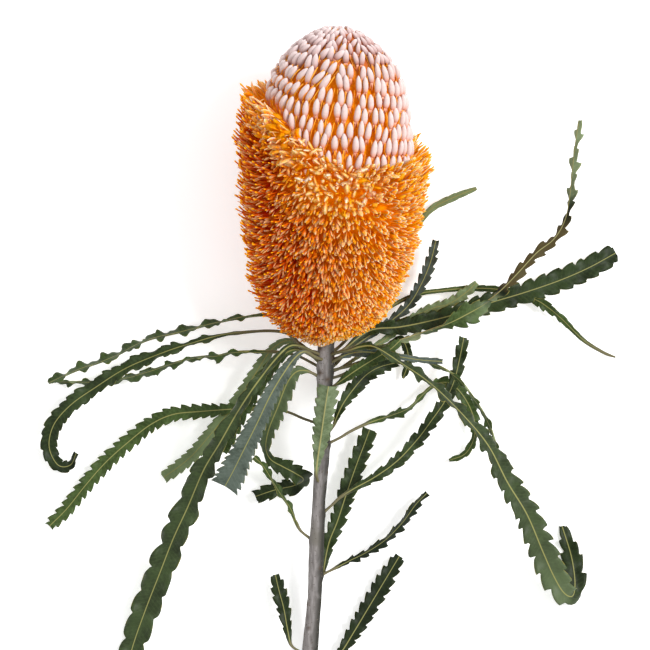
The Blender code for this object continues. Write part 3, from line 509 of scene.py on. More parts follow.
def make_paints():
    """Every material of the object, by name."""
    paints = {name: leaf_paint(name + "_face", colours, RIB_COLOUR, 0.46) for name, colours in LEAF_COLOURS.items()}
    paints["under"] = leaf_paint("leaf_underside", UNDER_COLOURS, UNDER_RIB_COLOUR, 0.7)

    bark = Paint("stem_bark_grain", 0.85, Specular_IOR_Level=0.25)
    colour = bark.ramp(bark.noise(1.1, 4.0, (1, 0.18, 1)),
                       (0.3, 108, 103, 101), (0.5, 128, 123, 121), (0.7, 150, 145, 144))
    colour = bark.mix(bark.ease(bark.noise(14.0, 3.0), 0.45, 0.75), colour, (112, 108, 100))
    # Painted shade: the stem's right flank is painted darker, in patches.
    painted_flank_shade = bark.times(bark.field("painted_flank_shade"), bark.ease(bark.noise(6.0, 3.0), 0.1, 0.5))
    colour = bark.mix(painted_flank_shade, colour, (46, 45, 40))
    colour = bark.mix(bark.ease(bark.noise(0.8, 1.0), 0.66, 0.72), colour, (86, 78, 70))
    colour = bark.mix(bark.field("scar"), colour, (74, 60, 48))
    colour = bark.mix(bark.field("cut"), colour, (206, 190, 150))
    paints["bark"] = bark.done(colour, bark.noise(0.7, 4.0, (1, 0.2, 1)), 0.7, 0.35)

    # The floret and core materials give off a painted glow, an emission that stands in for light through their flesh.
    limb = Paint("floret_limbs", 0.6, Specular_IOR_Level=0.03, Subsurface_Weight=0.4,
                 Subsurface_Radius=(1.0, 0.4, 0.1), Subsurface_Scale=0.0012, Emission_Strength=PAINTED_GLOW)
    far, gold_and_painted_light, edged = limb.fields("floret")
    across, tone = limb.math("ABSOLUTE", limb.field("ridge")), limb.field("tone")
    keel = limb.times(limb.ease(across, 0.75, 0.3), limb.math("SUBTRACT", 1.0, edged))
    margin = limb.times(limb.math("MAXIMUM", limb.ease(across, 0.4, 0.7), limb.ease(far, 0.9, 0.98)), edged)
    skin = limb.times(limb.math("ADD", keel, margin), limb.ease(tone, 0.2, 0.6))
    # Painted light: limbs run from red in painted shade at the left of the head to gold in painted light at the right.
    body = limb.mix(gold_and_painted_light, limb.ramp(far, (0, 196, 8, 0), (0.45, 198, 22, 0), (0.62, 200, 50, 0),
                                    (0.85, 208, 80, 6), (1, 222, 116, 34)),
                    limb.ramp(far, (0, 228, 120, 0), (0.5, 230, 132, 0), (0.8, 234, 142, 4),
                              (1, 242, 168, 40)))
    pale = limb.mix(gold_and_painted_light, limb.ramp(far, (0, 196, 8, 0), (0.46, 202, 36, 0), (0.58, 216, 104, 36),
                                    (0.74, 236, 160, 98), (1, 251, 208, 164)),
                    limb.ramp(far, (0, 230, 124, 0), (0.4, 240, 148, 10), (0.58, 250, 192, 110),
                              (1, 255, 224, 182)))
    pale = limb.mix(limb.times(limb.ease(tone, 1.25, 1.8), limb.ease(far, 0.5, 0.62)), pale, (255, 240, 224))
    colour = limb.mix(skin, body, pale)
    colour = limb.mix(limb.times(limb.ease(limb.noise(0.9), 0.45, 0.7), 0.3), colour,
                      limb.mix(gold_and_painted_light, (204, 56, 0), (240, 154, 0)))
    paints["limb"] = limb.done(colour, limb.noise(0.4, 2.0), 0.3, 0.1, painted_glow(limb, far, gold_and_painted_light))

    # The styles give off the same painted glow.
    style = Paint("floret_styles", 0.5, Specular_IOR_Level=0.08, Emission_Strength=PAINTED_GLOW)
    far, gold_and_painted_light, _ = style.fields("floret")
    # Painted light: styles run from red in painted shade at the left to gold in painted light at the right.
    colour = style.mix(gold_and_painted_light, style.ramp(far, (0, 200, 10, 0), (0.6, 206, 52, 0), (0.89, 214, 88, 0),
                                        (0.93, 240, 148, 0), (1, 252, 180, 20)),
                       style.ramp(far, (0, 230, 120, 0), (0.6, 236, 136, 0), (0.88, 238, 142, 0),
                                  (0.94, 246, 156, 6), (1, 252, 170, 20)))
    paints["style"] = style.done(colour, style.noise(0.5), 0.2, 0.1, painted_glow(style, far, gold_and_painted_light))

    # The filaments give off the same painted glow.
    thread = Paint("floret_filaments", 0.6, Specular_IOR_Level=0.03, Emission_Strength=PAINTED_GLOW)
    far, gold_and_painted_light, _ = thread.fields("floret")
    # Painted light: filaments run from red in painted shade at the left to gold in painted light at the right.
    colour = thread.mix(gold_and_painted_light, thread.ramp(far, (0, 200, 8, 0), (0.7, 206, 50, 0), (1, 212, 100, 24)),
                        thread.ramp(far, (0, 232, 128, 0), (0.7, 240, 152, 0), (1, 250, 180, 60)))
    paints["filament"] = thread.done(colour, thread.noise(0.5), 0.2, 0.1, painted_glow(thread, far, gold_and_painted_light))

    # The core gives off a painted glow too.
    core = Paint("core_flesh", 0.8, Specular_IOR_Level=0.05, Emission_Strength=PAINTED_GLOW)
    high, gold_and_painted_light, spots = core.field("height"), core.field("gold_and_painted_light"), core.noise(1.6, 3.0)
    # Painted light: the core runs from red in painted shade at the left to gold in painted light at the right.
    colour = core.mix(gold_and_painted_light, core.ramp(spots, (0.3, 180, 6, 0), (0.7, 200, 16, 0)),
                      core.ramp(spots, (0.3, 216, 118, 0), (0.7, 232, 138, 0)))
    colour = core.mix(core.ease(high, 0.0, 1.0), colour, core.ramp(spots, (0.3, 216, 104, 0), (0.7, 250, 160, 16)))
    colour = core.mix(core.ease(high, 1.0, 1.8), colour, (184, 98, 52))
    # painted glow of the core: bright near the floret edge, weak high up among the buds
    painted_glow_colour = core.mix(core.ease(high, 0.0, 1.0), core.mix(gold_and_painted_light, (70, 2, 0), (236, 140, 0)), (226, 112, 0))
    painted_glow_colour = core.mix(core.ease(high, 1.0, 1.8), painted_glow_colour, (90, 36, 10))
    paints["core"] = core.done(colour, core.noise(0.8, 3.0), 0.8, 0.5, painted_glow_colour)

    bud = Paint("bud_down", 0.75, Specular_IOR_Level=0.25, Sheen_Weight=0.25, Sheen_Roughness=0.5)
    far, crown, _ = bud.fields("floret")
    colour = bud.ramp(far, (0, 216, 116, 70), (0.1, 212, 150, 128), (0.3, 206, 180, 174), (1, 216, 200, 198))
    colour = bud.mix(bud.times(bud.ease(bud.noise(0.9, 3.0), 0.4, 0.75), 0.4), colour, (190, 158, 152))
    # Painted shade: buds at the crown are painted darker, darkest at their bases between the buds, with a lilac tint
    # of their own.
    colour = bud.mix(bud.times(crown, 0.9), colour,
                     bud.ramp(far, (0, 146, 90, 78), (0.35, 184, 154, 151), (1, 222, 206, 205)))
    paints["bud"] = bud.done(colour, bud.noise(0.35, 3.0), 0.5, 0.18)

    stalk = Paint("bud_stalks", 0.6, Specular_IOR_Level=0.3)
    far, _, _ = stalk.fields("floret")
    colour = stalk.ramp(far, (0, 224, 124, 50), (0.4, 230, 150, 110), (0.7, 234, 174, 148), (1, 238, 188, 166))
    paints["stalk"] = stalk.done(colour, stalk.noise(0.5), 0.2, 0.1)

    loop = Paint("bud_style_loops", 0.4, Specular_IOR_Level=0.5)
    _, _, tone = loop.fields("floret")
    paints["loop"] = loop.done(loop.mix(tone, (226, 128, 4), (255, 178, 40)), loop.noise(0.6), 0.1, 0.1)
    return paints


# How each leaf looks close up: tooth pitch and depth (share of the half width), how rounded its teeth
# are, height and length of its waves, half width of its midrib, how much darker (below 0, lighter, and above 1,
# browner) it is than its kind, and how its width departs from the route's, both by share of its length
Look = namedtuple("Look", "pitch depth round wave wave_length rib shades widths",
                  defaults=(((0, 0), (1, 0)), ((0, 1), (1, 1))))


def even(shade):
    """A shade that is the same all along the leaf."""
    return (0, shade), (1, shade)


PLAIN_LOOK = Look(3.9, 0.34, 0.0, 0.8, 11.0, 0.26)
LOOKS = {
    1: Look(5.0, 0.3, 0.6, 1.3, 11.0, 0.3, even(0.3)),
    2: Look(4.2, 0.28, 0.3, 1.1, 14.0, 0.28, ((0, 0), (0.7, -0.1), (0.85, 0.3), (1, 0.7))),
    3: Look(6.2, 0.42, 0.2, 1.0, 9.0, 0.28, even(0.2)),
    4: Look(3.9, 0.42, 0.0, 0.6, 9.0, 0.26),
    5: Look(3.4, 0.3, 0.0, 0.6, 10.0, 0.26, even(-0.5)),
    6: Look(10.6, 0.36, 0.7, 2.4, 21.2, 0.34, even(-0.15), ((0, 1), (0.3, 1.1), (1, 1.18))),
    7: Look(5.2, 0.36, 0.1, 1.2, 11.0, 0.3, even(-0.1)),
    8: Look(2.9, 0.26, 0.0, 0.8, 12.0, 0.3, even(-0.1), ((0, 1), (0.5, 1.05), (1, 1.25))),
    9: Look(4.6, 0.36, 0.0, 0.9, 10.0, 0.28, ((0, -0.4), (0.5, -0.3), (0.6, 0.1), (1, 0.2)),
            ((0, 1.2), (0.4, 1.25), (0.6, 1.3), (1, 1.1))),
    10: Look(3.9, 0.34, 0.2, 0.8, 9.0, 0.24, even(0.2)),
    11: Look(4.2, 0.36, 0.1, 0.8, 9.0, 0.24, even(0.4), ((0, 1), (1, 1.15))),
    12: Look(3.8, 0.32, 0.1, 0.9, 9.0, 0.4, even(0.25), ((0, 1), (0.4, 1.2), (1, 1.25))),
    13: Look(5.8, 0.36, 0.3, 0.9, 13.0, 0.3, ((0, 0), (0.5, 0.1), (1, 0.35)), ((0, 1), (0.6, 1.08), (1, 1.2))),
    14: Look(5.6, 0.5, 0.1, 0.9, 13.0, 0.26,
             ((0, 0.1), (0.35, 0), (0.42, -0.4), (0.46, 0.4), (0.5, 1.8), (0.7, 1.8), (0.8, 0.4), (0.86, -0.4),
              (1, -0.7)),
             ((0, 1), (0.3, 1), (0.38, 1.5), (0.44, 1.4), (0.5, 0.95), (0.56, 0.8), (0.8, 1), (1, 1.1))),
    15: Look(3.9, 0.44, 0.0, 0.7, 9.0, 0.24, even(0.45)),
    17: Look(3.6, 0.5, 0.0, 0.9, 7.0, 0.22, even(-0.5), ((0, 1), (0.6, 1.3), (1, 1.3))),
    18: Look(4.5, 0.34, 0.3, 0.8, 9.0, 0.22, even(-0.5), ((0, 1), (0.8, 1.3), (1, 1.4))),
    19: Look(6.6, 0.38, 0.1, 1.2, 13.0, 0.38,
             ((0, 0), (0.4, -0.1), (0.7, -0.25), (0.83, -0.4), (0.86, 0.2), (0.9, 0.45), (1, 0.45)),
             ((0, 1), (0.75, 1.1), (0.84, 1.1), (0.9, 1.6), (0.96, 1.3), (1, 1))),
    25: Look(5.0, 0.4, 0.1, 1.1, 10.0, 0.24, even(0.1)),
    26: Look(4.6, 0.36, 0.0, 0.8, 11.0, 0.28, even(-0.05), ((0, 1), (0.3, 1.12), (1, 1.15))),
    27: Look(4.2, 0.5, 0.0, 0.6, 10.0, 0.22, even(0.8)),
    28: Look(4.2, 0.42, 0.0, 0.7, 11.0, 0.26, even(0.6), ((0, 1), (0.5, 1.25), (1, 1.3))),
}
PETIOLE_WIDTH = 1.8
ELBOW = 2.7             # how far out of the stem's skin the stalk's second point is
STALK_SLIMMED = 0.7
STALK_STRAIGHT = 9      # how far the stalk runs straight from the stem
FOLD = math.radians(18)
TURN_EASE = 0.2
STEPS_PER_TOOTH = 8
TOOTH_POINT = 0.8       # where along a tooth its point is
COLUMNS = (-1, -0.74, -0.42, None, 0, None, 0.42, 0.74, 1)      # None is the side of the midrib
FLOOR_GAP = 0.02        # below the leaves and the stem


def leaf_spine(leaf):
    """A leaf's midrib a millimetre at a time: place with width and roll, direction, and normal."""
    away = outward(math.radians(leaf.around))
    centre, thick = stem_point(leaf.stem_y), along(STEM_RADII, leaf.stem_y)
    root = centre + (thick - 0.6) * away
    stalk = [(*root, PETIOLE_WIDTH, 0), (*(root + ELBOW * away), PETIOLE_WIDTH, 0)]
    curve = curve_through([*stalk, *[(*point, 0)[:5] for point in leaf.route]], 16)
    far = lengths_along(curve[:, :3])
    fine = resampled(curve, far, np.append(np.arange(0, far[-1], 1.0), far[-1]))
    last = min(STALK_STRAIGHT, len(fine) // 4)
    t = np.linspace(0, 1, last + 1)[:, None]
    start, end = centre + 0.4 * thick * away, fine[last, :3]
    first_hold = start + (end - start) / 3
    last_hold = end - unit(np.gradient(fine[:, :3], axis=0))[last] * last / 3
    fine[:last + 1, :3] = ((1 - t) ** 3 * start + 3 * t * (1 - t) ** 2 * first_hold
                           + 3 * t ** 2 * (1 - t) * last_hold + t ** 3 * end)
    ways = unit(np.gradient(fine[:, :3], axis=0))
    normal, sign, normals = np.array([0.0, 1.0, 0.0]), 1, []
    for way in ways:
        normal = unit(normal - normal.dot(way) * way)
        up = UP - way[2] * way
        if np.linalg.norm(up) > 0.4:
            facing = normal.dot(unit(up))
            if abs(facing) > 0.5:
                sign = 1 if facing > 0 else -1
            normal = unit(normal + TURN_EASE * (sign * unit(up) - normal))
        normals.append(normal)
    return fine, ways, np.array(normals)


def tooth_shape(far, look, seed, length):
    """How wide a blade is along one margin, from 0 to 1, and how far its points reach forward."""
    rng = np.random.default_rng(seed)
    count = int(length / look.pitch) + 3
    jitter = rng.uniform(-0.16, 0.16, count)
    starts = (np.arange(count) - rng.uniform(0, 1) + jitter) * look.pitch
    depths = look.depth * rng.uniform(0.65, 1.25, count)
    tooth = np.clip(np.searchsorted(starts, far, side="right") - 1, 0, count - 2)
    share = np.clip((far - starts[tooth]) / (starts[tooth + 1] - starts[tooth]), 0, 1)
    rising, back = share / TOOTH_POINT, (share - TOOTH_POINT) / (1 - TOOTH_POINT)
    cut = np.where(share < TOOTH_POINT, np.abs(1 - rising) ** 1.25, np.abs(back) ** 1.4)
    lobe = np.abs(2 * share - 1) ** 2.2
    reach = np.where(share < TOOTH_POINT, rising ** 3, 1 - back)
    return 1 - depths[tooth] * (cut * (1 - look.round) + lobe * look.round), reach * (1 - look.round)


def build_leaf(number, leaf, paints):
    """One leaf, lofted along its midrib with its teeth, waves, fold and ribs."""
    look = LOOKS.get(number, PLAIN_LOOK)
    spine = leaf_spine(leaf)
    index = np.arange(len(spine[0]))
    length = float(index[-1])
    stations = int(length / look.pitch * STEPS_PER_TOOTH * (2 if look.pitch > 8 else 1))
    far = np.linspace(0, length, stations + 1)
    row, way, up = [resampled(table, index, far) for table in spine]
    way = unit(way)
    up = unit(up - (up * way).sum(1, keepdims=True) * way)
    roll = np.radians(row[:, 4])
    face = by(np.cos(roll), up) + by(np.sin(roll), np.cross(way, up))
    right = np.cross(way, face)
    width = row[:, 3] - STALK_SLIMMED * smooth(row[:, 3], PETIOLE_WIDTH + 2, PETIOLE_WIDTH)
    width = width * (1 - (1 - leaf.tip_share) * smooth(far, length - 3.5, length))
    blade = np.clip((row[:, 3] - PETIOLE_WIDTH) / 2.5, 0, 1)
    half = width / 2 * (1 + (along(look.widths, far / length) - 1) * blade)
    rib = np.clip(look.rib * (1 - 0.45 * far / length), 0.16, None)
    turn = math.tau * far / look.wave_length
    phases = np.random.default_rng(100 + number).uniform(0, math.tau, 2)
    upper, lower, info, ribs = [], [], [], []
    for k, place in enumerate(COLUMNS):
        hand = -1 if k < 4 else 1
        margin, reach = tooth_shape(far, look, 10 * number + (hand > 0), length)
        span = half * (1 + (margin - 1) * blade)
        across = np.minimum(rib, 0.3 * half) if place is None else abs(place) * span
        share = across / np.maximum(half, 0.01)
        wave = look.wave * (np.sin(turn + phases[0] + (0.0 if hand < 0 else 2.3))
                            + 0.45 * np.sin(2.3 * turn + phases[1] + hand)) * share ** 1.6 * blade
        lift = across * math.sin(FOLD) * blade + wave - 0.1 * half * share ** 2 * blade
        spot = row[:, :3] + by(hand * across * np.cos(FOLD * blade), right) + by(lift, face)
        spot = spot + by(reach * look.pitch * 0.22 * share ** 3 * blade, way)
        edge = place in (-1, 1)
        thick = (0.05 if edge else 0.17) + (1 - blade) * (0.08 if edge else 0.26)
        bulge = 0.16 + 0.16 * (1 - blade) if place == 0 else 0.0
        upper.append(spot + by(thick + bulge, face))
        lower.append(spot - by(thick + 1.6 * bulge, face))
        info.append(np.stack([far, hand * across, np.ones(len(far)) if edge else share * 0.85], axis=1))
        ribs.append(across / rib)
    points = np.concatenate([np.stack(upper, 1).reshape(-1, 3), np.stack(lower, 1).reshape(-1, 3)])
    points[:, 2] = np.maximum(points[:, 2], FLOOR_GAP)
    columns, total = len(COLUMNS), len(far) * len(COLUMNS)
    last = total - columns
    faces, indices = [], []
    for a in range(0, last, columns):
        b = a + columns
        for k in range(columns - 1):
            faces.append((a + k, a + k + 1, b + k + 1, b + k))
            faces.append((total + a + k + 1, total + a + k, total + b + k, total + b + k + 1))
            indices += [0, 1]
        faces.append((a, b, total + b, total + a))
        faces.append((b + columns - 1, b - 1, total + b - 1, total + b + columns - 1))
        indices += [0, 0]
    for k in range(columns - 1):
        faces.append((k + 1, k, total + k, total + k + 1))
        faces.append((last + k, last + k + 1, total + last + k + 1, total + last + k))
        indices += [0, 0]
    by_row = {"petiole": 1 - smooth(blade, 0.0, 0.35), "shade": along(look.shades, far / length)}
    fields = {"leaf": np.tile(np.stack(info, 1).reshape(-1, 3), (2, 1)),
              "rib": np.tile(np.stack(ribs, 1).reshape(-1), 2),
              **{name: np.tile(np.repeat(values, columns), 2) for name, values in by_row.items()}}
    add_piece(f"leaf_{number:02d}_blade", points, faces, [paints[leaf.finish], paints["under"]],
              [f"leaf_{number:02d}"], fields, indices)


def build_stem(paints):
    """The bark, with the scars of fallen leaves and a swelling where each leaf grows."""
    sides = STEM_SIDES
    y, turn = np.meshgrid(np.arange(STEM_CUT_Y, STEM_TOP_Y, STEM_STEP), around(sides), indexing="ij")
    ridges = 0.05 * np.sin(5 * turn + 0.05 * y) + 0.04 * np.sin(11 * turn - 0.11 * y + 1.0)
    knots = 0.05 * np.sin(0.42 * y + 1.0) + 0.04 * np.sin(1.1 * y + 2 * turn)
    radius = along(STEM_RADII, y) * (1 + 0.25 * (ridges + knots))

    def away_from(place, degrees, high, wide):
        """How far each point is from a place on the skin, squared, as a share of that place's size."""
        gap = (turn - math.radians(degrees) + math.pi) % math.tau - math.pi
        return (y - place) ** 2 / high + (gap * radius) ** 2 / wide

    scar = np.zeros_like(y)
    for place, degrees, size in STEM_SCARS:
        near = away_from(place, degrees, (0.8 * size) ** 2, size ** 2)
        radius = radius + 0.38 * np.exp(-near) - 0.3 * np.exp(-near * 6)
        scar = np.maximum(scar, np.exp(-near * 1.2))
    for leaf in LEAVES:
        radius = radius + 0.45 * np.exp(-away_from(leaf.stem_y, leaf.around, 2.2, 1.6))
    points = (stem_point(y) + by(radius, outward(turn))).reshape(-1, 3)
    points[:, 2] = np.maximum(points[:, 2], FLOOR_GAP)
    # painted shade, strongest on the stem's right flank
    painted_flank_shade = smooth(np.sin(turn), -0.3, 0.85)

    hub = stem_point(STEM_CUT_Y)
    cut_rings = [hub + (points[:sides] - hub) * share + (0, bulge, 0)
                 for share, bulge in ((0.94, -0.05), (0.5, -0.25), (0.12, -0.1))]
    first, cut_size = len(points), 3 * sides
    faces, before = tube_faces(len(y), sides, caps=False), 0
    for start in range(first, first + cut_size, sides):
        for c in range(sides):
            n = (c + 1) % sides
            faces.append((before + n, before + c, start + c, start + n))
        before = start
    faces.append(tuple(before + c for c in reversed(range(sides))))
    top = first - sides
    faces += [(top + c, top + (c + 1) % sides, first + cut_size) for c in range(sides)]
    points = np.concatenate([points, *cut_rings, points[top:].mean(0)[None]])
    scars, painted_flank_shades = [np.append(values, np.zeros(cut_size + 1)) for values in (scar, painted_flank_shade)]
    cut = np.repeat([0, 1, 0], [first, cut_size, 1])
    add_piece("stem_with_bark", points, faces, [paints["bark"]], ["stem"],
              {"scar": scars, "cut": cut, "painted_flank_shade": painted_flank_shades})


TUBE_GAP = 0.03         # below the lowest florets
FLORET_SEED = 11
FLORET_PITCH = 3.6
FLORET_ROW_STEP = 2.95
FLORET_START = 4.4      # the lowest row, along the bed
ANGLE_JITTER = 0.25     # of the pitch
COLLAR = ((-180, 0.5), (-120, 0), (-85, -1.5), (-62, -1.5), (-40, 1), (-20, 3), (0, 2.5), (35, 1), (60, 0),
          (90, -2), (130, -1), (180, 0.5))     # how far short florets climb past the edge, by angle
CORE_DEPTH = 4.5
CORE_GAP = 1.0
CORE_SIDES = 96
SWIRL = 0.22
# By share of the way up to the edge: the length beyond the bed, and how far a floret leans up the axis
FLORET_LENGTHS = ((0.0, 2.2), (0.1, 4.1), (0.25, 6.5), (0.5, 7.7), (1.0, 8.2))
LEFT_LEANS = ((0.0, -0.3), (0.12, 0.3), (0.25, 0.65), (0.5, 0.95), (0.8, 1.1), (1.0, 1.3))
RIGHT_LEANS = ((0.0, -0.9), (0.12, -0.5), (0.25, -0.2), (0.5, 0.25), (0.68, 0.7), (0.85, 1.15), (1.0, 1.6))
FRONT_LEANS = ((0.0, -0.3), (0.12, -0.8), (0.3, -1.2), (0.5, -1.1), (0.7, -0.75), (0.86, -0.15), (1.0, 0.6))
RIGHT_LENGTHS = ((0, 0.42), (10, 0.45), (17, 0.52), (26, 0.54), (38, 0.8), (54, 1.0))   # share kept, by height
STYLE_RINGS = np.array([0.0, 0.3, 0.6, 0.86, 0.91, 0.95, 0.985, 1.0])
STYLE_RADII = np.array([0.28, 0.28, 0.26, 0.2, 0.24, 0.31, 0.22, 0.04])
FILAMENT_RINGS = np.array([0.0, 0.35, 0.65, 0.88, 1.0])
FILAMENT_RADII = np.array([0.3, 0.3, 0.27, 0.2, 0.03])
LIMB_RINGS = np.array([0.0, 0.3, 0.46, 0.58, 0.7, 0.83, 0.94, 1.0])
DROP_WIDTHS = np.array([0.28, 0.32, 0.36, 0.54, 0.84, 0.9, 0.56, 0.03])
RIBBON_WIDTHS = np.array([0.32, 0.5, 0.62, 0.72, 0.76, 0.66, 0.36, 0.03])
LIMB_DEPTHS = np.array([0.12, 0.14, 0.16, 0.18, 0.25, 0.27, 0.18, 0.02])
BUD_RINGS = np.array([0.0, 0.08, 0.22, 0.4, 0.6, 0.78, 0.92, 1.0])
BUD_WIDTHS = np.array([0.5, 0.74, 0.95, 1.02, 0.95, 0.76, 0.44, 0.06])
# Sections of the tubes, and how far out each corner of the keeled one is
SQUARE = np.array([(1, 0), (0, 1), (-1, 0), (0, -1)], float)
KEEL = np.array([(1, -0.25), (0, 1), (-1, -0.25)], float)
TRIANGLE = np.array([(1, -0.5), (0, 1), (-1, -0.5)], float)
OCTAGON = np.stack([np.cos(np.arange(8) * math.tau / 8), np.sin(np.arange(8) * math.tau / 8)], 1)
RIDGE = np.array([1.0, 0.0, -1.0])
EDGE_STRANDS = 560


def floret_sites(rng):
    """Where the open florets stand: angle, distance along the bed, share of the way up, and the edge."""
    bed = Bed(FLORET_BED)
    sites = []
    last = bed.far[-1]
    for row, far in enumerate(np.arange(FLORET_START, last - 0.5, FLORET_ROW_STEP)):
        count = max(8, round(math.tau * (bed.height_radius(far)[1] + 5.5) / FLORET_PITCH))
        jitter = rng.uniform(-ANGLE_JITTER, ANGLE_JITTER, count)
        angles = (np.arange(count) + 0.5 * (row % 2) + jitter) * math.tau / count
        fars = np.minimum(far + rng.uniform(-0.7, 0.7, count), last)
        tops = bed.far_at(edge_height(angles))
        keep = fars < tops + along(COLLAR, half_turns(angles))
        for angle, place, top in zip(angles[keep], fars[keep], tops[keep]):
            share = (place - FLORET_START) / (top - FLORET_START)
            sites.append((angle, place, min(share, 1), top - place))
    return bed, np.array(sites)


def head_gold_and_painted_light(angle, height):
    """How golden and how lit the florets are painted: from 0, red in painted shade at the left, to 1, gold in painted
    light at the right.
    """
    right = smooth(np.sin(angle + 0.05), -0.4, 0.7)
    return (0.08 + 0.66 * right + 0.42 * smooth(height, 36, 80) * smooth(np.sin(angle), -0.8, 0.1)
            + 0.3 * smooth(np.cos(angle - 0.1), 0.6, 0.95) * smooth(height, 50, 66)
            + 0.22 * smooth(height, 18, 4))


